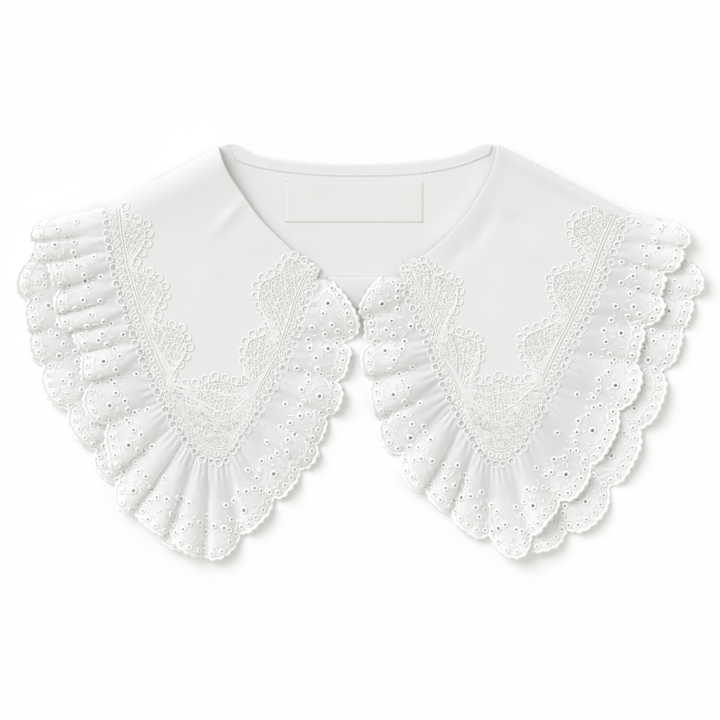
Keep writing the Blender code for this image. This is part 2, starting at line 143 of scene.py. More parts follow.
# Folds of the ruffles, as in the solids: distance along the seam, the crest's hem in plan, height, lean,
# and how far the hem draws back after it
FOLD_COLUMNS = ("along", "hem_x", "hem_y", "height", "lean", "notch")
RUFFLE_LEFT = (
    (9, -196, 72, 7, 0.3, 3),
    (20, -194, 59, 6, 0.3, 3),
    (31, -184, 46, 8, 0.4, 6),
    (49, -182, 28, 7, 0.2, 2),
    (62, -180, 17, 8, 0.4, 6),
    (76, -169, 5, 6, 0.1, 2),
    (89, -166, -9, 9, 0.5, 8),
    (113, -164, -33, 6, 0.3, 9),
    (128, -150, -61, 9, 0.6, 9),
    (144, -145, -91, 9, 0.4, 5),
    (153, -127, -104, 9, 0.5, 7),
    (163, -103, -120, 9, 0.2, 2),
    (172, -83, -123, 6, 0.0, 5),
    (182, -59, -101, 7, -0.2, 5),
    (193, -42, -82, 7, -0.2, 4),
    (205, -27, -64, 7, -0.2, 4),
    (218, -23, -50, 5, 0.0, 5),
    (234, -12, -30, 8, -0.3, 6),
    (251, -8, -8, 6, 0.2, 9),
    (277, -2.5, 20, 9, 0.2, 4),
)
RUFFLE_LEFT_ENDS = ((0, -193, 78), (300, -14, 41))
RUFFLE_RIGHT = (
    (9, 196, 69, 6, 0.1, 4),
    (25, 191, 53, 6, 0.2, 6),
    (36, 181, 39, 4, 0.1, 3),
    (50, 181, 24, 6, 0.2, 6),
    (79, 167, 2, 5, 0.1, 3),
    (98, 167, -20, 6, 0.2, 6),
    (122, 149, -56, 6, 0.2, 4),
    (142, 132, -83, 6, 0.2, 5),
    (158, 112, -101, 9, 0.2, 5),
    (171, 94, -123, 6, 0.0, 8),
    (183, 62, -106, 8, -0.3, 7),
    (197, 46, -92, 8, -0.3, 6),
    (212, 29, -79, 9, -0.4, 9),
    (223, 14, -53, 4, 0.0, 5),
    (237, 8, -32, 9, -0.2, 5),
    (252, 1.5, -5, 9, -0.4, 7),
    (270, 4, 12, 3, 0.0, 4),
    (292, 1.5, 28, 8, 0.3, 3),
)
RUFFLE_RIGHT_ENDS = ((0, 190, 77), (300, 11, 44))
BACK_RUFFLE_LEFT = (
    (14, -191, 67, 2, 0.0, 2),
    (37, -204.8, 42, 6, 0.0, 6),
    (62, -199, 18, 6, 0.2, 2),
    (78, -197, 2, 5, 0.2, 6),
    (102, -188, -24, 6, 0.2, 7),
    (126, -170, -50, 6, 0.2, 7),
    (146, -155, -73, 5, 0.2, 6),
    (162, -136, -92, 2, 0.0, 2),
    (174, -113, -117, 6, 0.0, 6),
    (184, -88, -116, 2, 0.0, 3),
    (198, -62, -88, 1, 0.0, 3),
    (222, -42, -58, 1, 0.0, 3),
    (246, -29, -28, 1, 0.0, 3),
    (268, -24, 0, 1, 0.0, 3),
)
BACK_RUFFLE_LEFT_ENDS = ((2, -186, 74), (284, -22, 18))
BACK_RUFFLE_RIGHT = (
    (14, 190, 63, 2, 0.0, 2),
    (35, 204.8, 42, 6, 0.0, 6),
    (60, 197, 21, 5, 0.2, 2),
    (80, 191, 3, 6, 0.2, 7),
    (106, 180, -31, 5, 0.2, 6),
    (130, 163, -67, 5, 0.2, 7),
    (156, 142, -101, 6, 0.2, 7),
    (172, 110, -119, 5, 0.0, 4),
    (184, 84, -114, 2, 0.0, 3),
    (198, 62, -90, 1, 0.0, 3),
    (222, 42, -60, 1, 0.0, 3),
    (246, 29, -28, 1, 0.0, 3),
    (268, 24, 0, 1, 0.0, 3),
)
BACK_RUFFLE_RIGHT_ENDS = ((2, 187, 71), (286, 22, 18))
# Depths between seam and hem, and the share of a fold's height that is reached at each
LIFT_DEPTH = (0.0, 0.12, 0.3, 0.55, 0.8, 1.0)
FRONT_LIFT = (0.1, 0.3, 0.65, 0.95, 1.0, 0.95)
BACK_LIFT = (0.05, 0.1, 0.12, 0.25, 0.8, 1.0)

# Inner edge of the lace, through its picot rings: along the seam, and the place in plan
EDGE_COLUMNS = ("along", "x", "y")
LACE_EDGE_LEFT = (
    (0, -141, 89), (9, -138.5, 80.5), (18, -127.5, 76.5), (26, -126.5, 67), (41, -133.5, 50),
    (48, -123, 46), (61, -115.8, 37), (79, -120.5, 18.5), (89, -106.5, 13.5), (101, -102, 2.5),
    (122, -112, -17), (132, -102.5, -19.5), (157, -86.4, -15), (185, -72, -17.5), (198, -67.5, -16),
    (216, -70.5, -2), (228, -67, 8.5), (240, -55.5, 14), (260, -62.5, 33), (269, -61, 42), (281, -50, 48.5),
    (293, -41, 57.5), (296.5, -34, 54.5), (298.6, -27, 48.5),
)
LACE_EDGE_RIGHT = (
    (0, 143, 85.5), (6, 135, 82), (13, 126.5, 79), (22, 125.3, 71), (39, 134, 54), (46, 126, 50.8),
    (58, 113.8, 45), (66, 113.8, 36), (79, 118, 21.5), (87, 109, 16), (98, 97, 9.5), (107, 96.5, -0.5),
    (122, 105, -15), (134, 99, -16.5), (148, 91, -17.2), (168, 83, -14.5), (184, 76, -17.5),
    (198, 66.5, -15.5), (213, 72.5, -2.5), (227, 71, 8), (242, 53, 14.5), (262, 59.8, 32), (272, 59.5, 41),
    (283, 48.5, 47.6), (294, 37, 54.5), (297, 31, 52), (298.8, 25, 48),
)
# Places along the seam where the lace's fans meet, and the wing's point between them
LACE_MEETINGS_LEFT = (41, 79, 122, 198, 240)
LACE_MEETINGS_RIGHT = (39, 79, 122, 198, 242)
LACE_POINT = 162.0
# Rings that fill each wing's end beside the neck, in plan
END_RINGS_LEFT = ((-26.3, 48.4), (-29.6, 50.5), (-33.2, 52.8), (-29.4, 46.8))
END_RINGS_RIGHT = ((26.0, 49.0), (29.3, 50.4), (32.8, 51.9), (28.6, 47.0))
END_RING_RADIUS = 1.6
# Spacing of ribs along the seam, and how far their feet lean towards the wing's point
RIB_SPACING = 4.2
RIB_SLANT = 13.0
# Loops over the seam and picot rings along the edge
LOOP_SPACING = 5.3
LOOP_RADIUS = 2.05
PICOT_SPACING = 6.1
PICOT_RADIUS = 2.25
# Rows of rings in the fans, by their distance in from the edge
FAN_RINGS = (5.4, 9.6, 13.8, 18.0)
FAN_RING_SPACING = 4.1
ROSETTE_RADII = (2.0, 0.8)
# Cords of the band by their distance in from the seam; the second is where the band ends
BAND_CORDS = (7.4, 9.1)
LACE_BAND = BAND_CORDS[1]
ZIGZAG = 5.2
NET_ZIGZAG = 3.7
# Rows of the net at the wing's point: their width there, and how far along the seam they fade out
CORNER_ROW = 5.0
CORNER_REACH = 46

# Threads of the lace, as radii: main, ribs, rings and cords, net, and rungs
LACE_THREAD = 0.5
RIB_THREAD = 0.46
FINE_THREAD = 0.42
NET_THREAD = 0.38
RUNG_THREAD = 0.36
# Height of the threads' middle above the cloth, and the share of its ups and downs that a ring follows
LACE_LIFT = 0.25
RING_FOLLOWS = 0.6
# Distances along the seam at which the lace stops short of its ends, and a long thread's step
LACE_MARGINS = (2.5, 1.6)
LACE_STEP = 0.9

# Soft creases of the wings: middle in plan, turn, half length, half width and height
CREASE_COLUMNS = ("x", "y", "turn", "length", "width", "height")
CREASES = (
    (-78, 81, 47, 12, 3.4, 1.3),
    (-66, 62, 40, 14, 7, 0.4),
    (-92, 40, 75, 22, 8, 0.4),
    (-110, 96, 28, 20, 5, 0.3),
    (94, 77, -25, 9, 5, -1.3),
    (73, 72, 60, 13, 4.5, -1.1),
    (58, 57, 55, 9, 4, -0.8),
    (104, 60, 15, 14, 7, 0.4),
    (86, 30, 80, 22, 8, 0.4),
    (128, 88, -28, 26, 6, -0.9),
)

# Eyelets on a repeat of the embroidery: along the hem, in from the hem, and 1 for small holes or 2 for large
EYELET_COLUMNS = ("along", "inward", "cells")
REPEAT = 34.5
# Columns at each end of a ruffle that the pattern leaves plain
END_COLUMNS = 5
EYELETS = (
    (1.2, 3.9, 1), (7.0, 3.9, 1), (12.7, 3.9, 1), (18.5, 3.9, 1), (24.2, 3.9, 1), (30.0, 3.9, 1),
    (7.0, 12.0, 1), (3.2, 16.8, 1), (10.8, 16.2, 1), (24.0, 13.6, 2), (24.0, 24.0, 1), (17.2, 19.5, 1),
    (30.9, 20.5, 1), (6.9, 27.0, 1),
)
# Petals on the same repeat, with their turn in degrees
PETAL_COLUMNS = ("along", "inward", "turn")
PETALS = (
    (24.0, 19.0, 90), (19.8, 16.2, 35), (28.2, 16.2, 145), (19.8, 22.0, 145), (28.2, 22.0, 35),
    (7.0, 20.5, 90), (1.5, 21.5, 120), (12.5, 21.5, 60), (7.0, 9.0, 0), (15.6, 10.0, 60), (32.4, 10.0, 120),
)

# Holes of small and large eyelets, and the satin stitch round them
EYELET_RADII = (0.8, 1.15)
RING_OUT = 0.5
RING_RAISE = 0.15
RING_THICK = 0.8
# Points along a petal from its middle, and its radius at each
PETAL_REACH = (-2.1, -1.3, 0.0, 1.3, 2.1)
PETAL_THICK = (0.15, 0.55, 0.75, 0.55, 0.15)
# Cord along the hem, its swelling at each bump, and the lines of stitches inside it: distance in, and radius
HEM_CORD = 0.7
HEM_CORD_SWELL = 0.55
HEM_LINES = ((6.9, 0.5), (7.8, 0.35))
# Those lines wave in and out once for each eyelet of the hem, and lie on the cloth
HEM_EYELET_SPACING = 5.75
HEM_LINE_WAVE = 0.5
HEM_LINE_RAISE = 0.2

# Topstitches of the neck band: spacing, distance in from its foot, and points and radii along each
STITCH_SPACING = 2.6
STITCH_INSET = 1.1
STITCH_ALONG = (0.0, 0.6, 1.3, 1.9)
STITCH_THICK = (0.15, 0.38, 0.38, 0.15)

# Textures: scale of the slow drift of tone and of the fuzz of fibres, spacing of a wave texture's bands at
# scale 1, and how far light spreads in the cloth
DRIFT_SCALE = 50.0
FUZZ_SCALE = 420.0
WAVE_AT_SCALE_ONE = 0.3125
CLOTH_SCATTER = 1.1

# Stage: half width and height of the card below in metres, turn of the key light, width of the camera's
# sensor in millimetres, and width and middle of what it takes in, in metres
FLOOR_HALF = 3
FLOOR_Z = -0.0002
KEY_TILT = math.radians(45)
KEY_AZIMUTH = math.radians(-130)
SENSOR_WIDTH = 36
VIEW_WIDTH = 0.432
VIEW_MIDDLE_Y = -0.0054
# Bounces of light, so that white cloth lights the folds beside it
BOUNCES = 24


def spline(knots, values, at):
    """Cubic through the values at the knots, each knot's slope taken from its neighbours."""
    knots = np.asarray(knots, float)
    values = np.asarray(values, float)
    slopes = np.gradient(values, knots, axis=0)
    at = np.clip(at, knots[0], knots[-1])
    left = np.clip(np.searchsorted(knots, at, side="right") - 1, 0, len(knots) - 2)
    width = knots[left + 1] - knots[left]
    x = (at - knots[left]) / width
    weights = [2 * x**3 - 3 * x**2 + 1, (x**3 - 2 * x**2 + x) * width,
               3 * x**2 - 2 * x**3, (x**3 - x**2) * width]
    if values.ndim == 2:
        weights = [weight[..., None] for weight in weights]
    return (weights[0] * values[left] + weights[1] * slopes[left]
            + weights[2] * values[left + 1] + weights[3] * slopes[left + 1])


def distance_along(points):
    """Distance of each point from the first, along the points."""
    return np.concatenate([[0], np.cumsum(np.linalg.norm(np.diff(points, axis=0), axis=1))])


class Line:
    """A smooth line through points in plan, read by the distance along it."""

    def __init__(self, points):
        points = np.array(points, float)
        knots = distance_along(points)
        self.track = spline(knots, points, np.linspace(0, knots[-1], 600))
        self.distance = distance_along(self.track)
        self.length = self.distance[-1]

    def at(self, distance):
        return np.stack([np.interp(distance, self.distance, track) for track in self.track.T], axis=-1)

    def away(self, plan):
        """Distance of points in plan from the line."""
        return np.linalg.norm(plan[..., None, :] - self.track[::6], axis=-1).min(axis=-1)


def columns(names, table):
    """The columns of a table as named arrays."""
    return dict(zip(names, np.array(table, float).T))


def unit(arrows):
    """The arrows at a length of 1."""
    return arrows / np.maximum(np.linalg.norm(arrows, axis=-1), 1e-9)[..., None]


def bell(distance, reach):
    """A soft hill: 1 at no distance, and falling away over the reach."""
    return np.exp(-((distance / reach) ** 2))


def quarter_round(distance, radius):
    """Share of the full height at a distance from a rounded edge."""
    return np.sqrt(1 - (1 - np.clip(distance / radius, 0, 1)) ** 2)


def with_height(plan, height):
    """Points from places in plan and their heights."""
    return np.concatenate([plan, height[..., None]], axis=-1)


def upright(points):
    """Unit arrows square to a grid of points, on the side that looks up."""
    up = np.cross(np.gradient(points, axis=1), np.gradient(points, axis=0))
    return unit(up) * np.sign(up[..., 2].sum())


def grid_quads(points):
    """Corners of the faces between the points of a grid that lies in plan, turned to look up."""
    rows, count = points.shape[:2]
    index = np.arange(rows * count).reshape(rows, count)
    quads = np.stack([index[:-1, :-1], index[:-1, 1:], index[1:, 1:], index[1:, :-1]], axis=-1).reshape(-1, 4)
    up = np.cross(np.gradient(points, axis=1), np.gradient(points, axis=0))
    return quads if up[..., 2].sum() > 0 else quads[:, ::-1]


def new_piece(name, points, quads, material, slot, uv=None):
    """A mesh of quads from points in millimetres, riding on the part."""
    mesh = bpy.data.meshes.new(name)
    quads = np.ascontiguousarray(quads, np.int32)
    used = np.unique(quads)
    order = np.zeros(len(points), np.int32)
    order[used] = np.arange(len(used))
    quads = order[quads]
    points = points[used]
    mesh.vertices.add(len(points))
    mesh.vertices.foreach_set("co", (points * MM).astype(np.float32).ravel())
    mesh.loops.add(quads.size)
    mesh.loops.foreach_set("vertex_index", quads.ravel())
    mesh.polygons.add(len(quads))
    mesh.polygons.foreach_set("loop_start", np.arange(0, quads.size, 4, dtype=np.int32))
    if uv is not None:
        layer = mesh.uv_layers.new(name="UVMap")
        layer.data.foreach_set("uv", (uv[used][quads.ravel()] * MM).astype(np.float32).ravel())
    mesh.update(calc_edges=True)
    mesh.validate()
    mesh.shade_smooth()
    mesh.materials.append(material)
    piece = bpy.data.objects.new(name, mesh)
    bpy.context.scene.collection.objects.link(piece)
    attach(piece, "root")
    return piece


def pillow(name, points, wall, rounding, material, slot, rim=0.5):
    """Two layers of cloth turned through at their edge: the wall stands on the underside's grid, and rises
    to its full height over the rounding's width as a quarter round. Both faces share the edge's points,
    which stand at the rim's share of the wall."""
    along = np.cumsum(np.linalg.norm(np.diff(points, axis=1, prepend=points[:, :1]), axis=-1), axis=1)
    across = np.cumsum(np.linalg.norm(np.diff(points, axis=0, prepend=points[:1]), axis=-1), axis=0)
    edge = np.minimum(np.minimum(along, along[:, -1:] - along), np.minimum(across, across[-1:] - across))
    swell = quarter_round(edge, rounding)[..., None]
    up = upright(points)
    middle = points + up * wall * rim
    upper = middle + up * swell * wall * (1 - rim)
    lower = middle - up * swell * wall * rim
    inside = np.zeros(points.shape[:2], bool)
    inside[1:-1, 1:-1] = True
    lower_index = np.arange(inside.size).reshape(inside.shape)
    lower_index[inside] = inside.size + np.arange(inside.sum())
    quads = grid_quads(points)
    under = lower_index.ravel()[quads][:, ::-1]
    uv = np.stack([along, across], axis=-1).reshape(-1, 2)
    all_points = np.concatenate([upper.reshape(-1, 3), lower[inside]])
    all_uv = np.concatenate([uv, uv[inside.ravel()]])
    piece = new_piece(name, all_points, np.concatenate([quads, under]), material, slot, all_uv)
    piece.data.set_sharp_from_angle(angle=SHARP_EDGE)
    return piece


def tubes(paths, radius, sides=4, closed=False):
    """Threads along paths of shape (threads, points, 3): a round section carried along each, with its own
    radius at each point. Open threads have an even number of sides and are shut at their ends. Gives points
    and quads."""
    threads, count = paths.shape[:2]
    if closed:
        ahead = unit(np.roll(paths, -1, axis=1) - np.roll(paths, 1, axis=1))
    else:
        ahead = unit(np.gradient(paths, axis=1))
    side = unit(np.cross(ahead, (0.0, 0.0, 1.0)))
    top = np.cross(side, ahead)
    angle = 2 * np.pi * np.arange(sides)[:, None] / sides
    ring = side[:, :, None] * np.cos(angle) + top[:, :, None] * np.sin(angle)
    radius = np.broadcast_to(np.asarray(radius, float), (threads, count))[..., None, None]
    points = paths[:, :, None] + ring * radius
    index = np.arange(threads * count * sides).reshape(threads, count, sides)
    looped = np.concatenate([index, index[:, :, :1]], axis=2)
    if closed:
        looped = np.concatenate([looped, looped[:, :1]], axis=1)
    quads = [np.stack([looped[:, :-1, :-1], looped[:, :-1, 1:], looped[:, 1:, 1:], looped[:, 1:, :-1]],
                      axis=-1).reshape(-1, 4)]
    if not closed:
        for first in range(0, sides - 2, 2):
            corners = [0, first + 1, first + 2, (first + 3) % sides]
            quads.append(index[:, 0][:, corners])
            quads.append(index[:, -1][:, corners[::-1]])
    return points.reshape(-1, 3), np.concatenate(quads)[:, ::-1]


def joined(parts):
    """Points and quads of several meshes as one."""
    points, quads, start = [], [], 0
    for some_points, some_quads in parts:
        points.append(some_points)
        quads.append(some_quads + start)
        start += len(some_points)
    return np.concatenate(points), np.concatenate(quads)


class Bed:
    """What lies below a ruffle, as heights on a grid in plan. Each height spreads as a blunt hill, so that
    the cloth above drapes over it and doesn't follow it closely. A larger fall makes the hills steeper."""

    STEP = 1.25
    LOW = np.array((-215.0, -135.0))
    SIZE = (345, 217)
    REACH = 20
    NOTHING = -40.0

    def __init__(self, fall):
        self.fall = fall
        self.height = np.full(self.SIZE, self.NOTHING)

    def add(self, points):
        cell = np.round((points[..., :2].reshape(-1, 2) - self.LOW) / self.STEP).astype(int)
        np.maximum.at(self.height, (cell[:, 0], cell[:, 1]), points[..., 2].ravel())

    def spread(self):
        for axis in (0, 1):
            margins = [(self.REACH, self.REACH) if a == axis else (0, 0) for a in (0, 1)]
            padded = np.pad(self.height, margins, constant_values=self.NOTHING)
            best = np.full(self.SIZE, self.NOTHING)
            for shift in range(2 * self.REACH + 1):
                moved = np.take(padded, np.arange(self.SIZE[axis]) + shift, axis=axis)
                best = np.maximum(best, moved - self.fall * ((shift - self.REACH) * self.STEP) ** 2)
            self.height = best

    def under(self, plan):
        """Height of the bed below points in plan, between the grid's heights."""
        at = (plan - self.LOW) / self.STEP
        low = np.clip(at.astype(int), 0, np.array(self.SIZE) - 2)
        x, y = np.moveaxis(at - low, -1, 0)
        i, j = np.moveaxis(low, -1, 0)
        h = self.height
        near = h[i, j] * (1 - x) + h[i + 1, j] * x
        far = h[i, j + 1] * (1 - x) + h[i + 1, j + 1] * x
        return near * (1 - y) + far * y


def creased(plan):
    """Height that the creases add: each is a long soft hill, a bell both along its line and across it."""
    crease = columns(CREASE_COLUMNS, CREASES)
    turn = np.radians(crease["turn"])
    x = plan[..., 0, None] - crease["x"]
    y = plan[..., 1, None] - crease["y"]
    along = bell(x * np.cos(turn) + y * np.sin(turn), crease["length"])
    across = bell(y * np.cos(turn) - x * np.sin(turn), crease["width"])
    return (crease["height"] * along * across).sum(axis=-1)


class Wing:
    """A wing's neck edge and seam, and how high its underside stands."""

    def __init__(self, neck, seam, form):
        self.neck, self.seam = Line(neck), Line(seam)
        self.form = dict(zip(FORM_COLUMNS, form))

    def height(self, plan):
        """A quarter round up from the shoulder fold, a puff whose crest lies behind the fold, highest at the
        neck's corner, raised along the neck edge, and creased."""
        form = self.form
        corner, shoulder = self.neck.at(0), self.seam.at(0)
        fold = unit(shoulder - corner)
        from_fold = np.abs((plan[..., 0] - corner[0]) * fold[1] - (plan[..., 1] - corner[1]) * fold[0])
        nearness = from_fold / form["crest"]
        puff = form["puff"] * (nearness * np.exp(1 - nearness)) ** PUFF_SHARPNESS
        lift = form["lift"] * bell(np.linalg.norm(plan - corner, axis=-1), form["lift_reach"])
        from_end = np.linalg.norm(plan - self.neck.at(self.neck.length), axis=-1)
        neck_roll = bell(self.neck.away(plan), form["roll_reach"]) * (1 - bell(from_end, NECK_ROLL_END))
        rise = FRONT_REST - FOLD_EDGE_REST + puff + lift + form["roll"] * neck_roll
        return FOLD_EDGE_REST + rise * quarter_round(from_fold, form["fold_radius"]) + creased(plan)

    def plan(self, share, fold_distance, depth):
        """Plan points of the wing: each column joins the neck edge to the seam."""
        spread = share * (1 - COLUMN_SPREAD * (1 - share))
        neck_at = fold_distance + spread * (self.neck.length - fold_distance)
        seam_at = fold_distance + share * (self.seam.length - fold_distance)
        depth = depth[..., None]
        return self.neck.at(neck_at) * (1 - depth) + self.seam.at(seam_at) * depth


def gathered(seam, folds, ends, lift, turn, depth):
    """Plan points and fold heights of a ruffle. A fold is one turn: its height follows the cosine, and its
    cloth runs ahead along the hem so that the crest is broad and its sides stand up. The hem draws back
    between crests."""
    fold = columns(FOLD_COLUMNS, folds)
    count = len(fold["along"])
    start, end = np.array(ends, float)
    knots = np.concatenate([[-0.5], np.arange(count), [count - 0.5]])
    along = np.concatenate([start[:1], fold["along"], end[:1]])
    hem = np.concatenate([start[None, 1:], np.column_stack([fold["hem_x"], fold["hem_y"]]), end[None, 1:]])
    phase = 2 * np.pi * turn
    raised = np.interp(depth, LIFT_DEPTH, lift)
    height = np.interp(turn, np.arange(count), fold["height"]) * raised * (0.5 + 0.5 * np.cos(phase))
    lean = np.interp(turn, np.arange(count), fold["lean"]) * height
    pitch = np.linalg.norm(spline(knots, hem, turn + 0.25) - spline(knots, hem, turn - 0.25), axis=-1) * 2
    ahead = (FOLD_OVERHANG * np.sin(2 * phase) + CREST_WIDENING * np.sin(phase)) / (2 * np.pi)
    moved = turn + ahead * raised + lean / np.maximum(pitch, 1)
    root = seam.at(spline(knots, along, moved))
    reach = spline(knots, hem, moved) - root
    length = np.linalg.norm(reach, axis=-1)
    notch = np.interp(turn, np.arange(count) + 0.5, fold["notch"])
    drawn_back = notch * (1 - np.abs(np.cos(phase / 2)) ** SCALLOP_ROUNDNESS) * depth**2 / length
    share = depth * (1 - drawn_back)
    return root + reach * share[..., None], height * FOLD_SETTLING, share * length


def hem_columns(seam, folds, ends, lift):
    """Turns at which a ruffle's columns stand, evenly spaced along its hem, and each column's distance along
    it."""
    turn = np.linspace(-0.5, len(folds) - 0.5, len(folds) * 60 + 1)
    plan, height, _ = gathered(seam, folds, ends, lift, turn[None], np.full((1, len(turn)), HEM_MEASURED_AT))
    distance = distance_along(with_height(plan[0], height[0]))
    even = np.linspace(0, distance[-1], int(distance[-1] / CELL) + 1)
    return np.interp(even, distance, turn), even


def fine_gathers(along, depth):
    """Heights of the fine gathers near the seam, and of the cloth's unevenness between seam and hem."""
    wave = 1 + np.sin(2 * np.pi * along / GATHER_SPACING + 1.3 * np.sin(along / 23))
    fine = GATHER_HEIGHT * bell(depth - 0.14, 0.13) * wave
    uneven = np.sin(along / 5.1 + 3 * depth) * np.sin(along / 3.3 - 5 * depth) * np.sin(np.pi * depth)
    return np.maximum(fine + 0.16 * uneven, 0)


def ruffle_grid(seam, folds, ends, lift, rows, bed, wing=None):
    """A ruffle's underside: its folds, finer gathers near the seam, small bumps of the scalloped hem, and
    its rest on the bed, from the wing's edge down, or on the table. Gives the points, the distance along
    the hem and the distance in from it."""
    turn, even = hem_columns(seam, folds, ends, lift)
    turn, depth = np.meshgrid(turn, rows)
    plan, height, from_seam = gathered(seam, folds, ends, lift, turn, depth)
    along = np.broadcast_to(even, turn.shape)
    outward = unit(np.gradient(plan, axis=0))
    edge = np.clip((depth - 0.9) / 0.1, 0, 1)
    plan = plan + outward * (edge * HEM_BUMP_DEPTH * np.abs(np.sin(np.pi * along / HEM_BUMP)))[..., None]
    hem_wave = np.clip(depth / 0.7, 0, 1) * (0.5 + 0.5 * np.sin(2 * np.pi * along / HEM_LIFT_REPEAT))
    if bed is None:
        gathers = BACK_GATHERS
        rest = RUFFLE_REST + BACK_HEM_LIFT * depth * hem_wave
    else:
        gathers = 1.0
        root = wing.height(plan[:1]) + SEWN_EDGE_LIFT
        share = np.clip(from_seam / BACK_EDGE_REACH[1], 0, 1)
        sinking = root * (1 - share) + np.interp(from_seam, BACK_EDGE_REACH, BACK_EDGE_HEIGHTS) * share
        rest = np.maximum(sinking, bed.under(plan) + LAYER_GAP) + HEM_LIFT * hem_wave
    points = with_height(plan, rest + height + gathers * fine_gathers(along, depth))
    return points, along, np.linalg.norm(plan - plan[-1:], axis=-1)


def pattern_places(along, inward, table, names, first_row):
    """Rows and columns of a ruffle's grid that are nearest to the places of a pattern that repeats along the
    hem, and the pattern's last column for each."""
    place = columns(names, table)
    rows, count = along.shape
    repeats = int(along[0, -1] // REPEAT) + 1
    wanted = (np.arange(repeats)[:, None] * REPEAT + place["along"]).ravel()
    deep = np.tile(place["inward"], repeats)
    rest = np.tile(place[names[2]], repeats)
    column = np.round(wanted / along[0, -1] * (count - 1)).astype(int)
    inside = (column >= END_COLUMNS) & (column < count - END_COLUMNS)
    column, deep, rest = column[inside], deep[inside], rest[inside]
    row = np.abs(inward[:, column] - deep).argmin(axis=0)
    good = (row > first_row) & (row < rows - 2)
    return row[good], column[good], rest[good]


def eyelet_cloth(name, points, along, inward, first_row, material):
    """A ruffle's cloth with its eyelets cut out: the faces round each eyelet's point go, and the next ring of
    points is drawn on to a circle in the cloth's plane. Gives the piece and each eyelet's centre, axes and
    radius."""
    row, column, cells = pattern_places(along, inward, EYELETS, EYELET_COLUMNS, first_row)
    keep = np.ones((points.shape[0] - 1, points.shape[1] - 1), bool)
    shaped = points.copy()
    e1 = unit(np.gradient(points, axis=1))[row, column]
    normal = upright(points)[row, column]
    e1 = unit(e1 - normal * (e1 * normal).sum(axis=-1)[:, None])
    e2 = np.cross(normal, e1)
    centre = points[row, column]
    radius = np.where(cells > 1.5, *EYELET_RADII[::-1])
    flip = np.sign((np.gradient(points, axis=0)[row, column] * e2).sum(axis=-1))[:, None]
    for size in (1, 2):
        which = np.flatnonzero(np.round(cells) == size)
        for down, right in np.ndindex(2 * size + 1, 2 * size + 1):
            down, right = down - size, right - size
            if max(abs(down), abs(right)) == size:
                angle = math.atan2(down, right)
                arrow = math.cos(angle) * e1[which] + math.sin(angle) * flip[which] * e2[which]
                shaped[row[which] + down, column[which] + right] = centre[which] + radius[which, None] * arrow
            if down < size and right < size:
                keep[row[which] + down, column[which] + right] = False
    shaped[..., 2] = np.maximum(shaped[..., 2], TABLE_GAP)
    uv = np.stack([along, inward], axis=-1).reshape(-1, 2)
    quads = grid_quads(points)[keep.ravel()]
    piece = new_piece(name, shaped.reshape(-1, 3), quads, material, "eyelet_cotton", uv)
    modifier = piece.modifiers.new("cloth thickness", "SOLIDIFY")
    modifier.thickness = RUFFLE_WALL * MM
    modifier.offset = 1.0
    return piece, (centre, e1, e2, normal, radius)


def eyelet_rings(centre, e1, e2, normal, radius):
    """Satin stitch round each eyelet."""
    angle = 2 * np.pi * np.arange(10)[:, None] / 10
    ring = (radius + RING_OUT)[:, None, None] * (np.cos(angle) * e1[:, None] + np.sin(angle) * e2[:, None])
    return tubes((centre + normal * (RUFFLE_WALL + RING_RAISE))[:, None] + ring, RING_THICK, 5, closed=True)


def petals(points, along, inward, first_row):
    """Long stitched petals, thick in the middle, in the flowers between the eyelets."""
    row, column, turned = pattern_places(along, inward, PETALS, PETAL_COLUMNS, first_row)
    e1 = unit(np.gradient(points, axis=1))[row, column]
    normal = upright(points)[row, column]
    turned = np.radians(turned)[:, None]
    axis = e1 * np.cos(turned) + np.cross(normal, e1) * np.sin(turned)
    reach = np.array(PETAL_REACH)[:, None]
    return tubes((points[row, column] + normal * RUFFLE_WALL)[:, None] + axis[:, None] * reach, PETAL_THICK)


def hem_cords(points, along, inward):
    """The corded scalloped hem, thick at each bump, and two lines of stitches that wave inside the hem's
    eyelets."""
    up = upright(points)
    lifted = points + up * RUFFLE_WALL / 2
    bumps = HEM_CORD + HEM_CORD_SWELL * np.abs(np.sin(np.pi * along[-1] / HEM_BUMP))
    parts = [tubes(lifted[-1:], bumps[None], 6)]
    for inset, thick in HEM_LINES:
        wanted = inset + HEM_LINE_WAVE * np.cos(2 * np.pi * along[:1] / HEM_EYELET_SPACING)
        row = np.clip(np.abs(inward - wanted).argmin(axis=0), 1, len(inward) - 2)
        spot = np.arange(along.shape[1])
        step = (wanted[0] - inward[row, spot]) / (inward[row - 1, spot] - inward[row, spot])
        line = lifted[row, spot] + (lifted[row - 1, spot] - lifted[row, spot]) * step[:, None]
        parts.append(tubes((line + up[row, spot] * HEM_LINE_RAISE)[None], thick, 6))
    return parts


def embroidery(name, points, along, inward, first_row, eyelets, material):
    """Satin stitch on a ruffle: a ring round each eyelet, petals, and the cord along the scalloped hem."""
    flowers = petals(points, along, inward, first_row)
    parts = [eyelet_rings(*eyelets), flowers, *hem_cords(points, along, inward)]
    points, quads = joined(parts)
    points[:, 2] = np.maximum(points[:, 2], TABLE_GAP)
    return new_piece(name, points, quads, material, "eyelet_cotton")


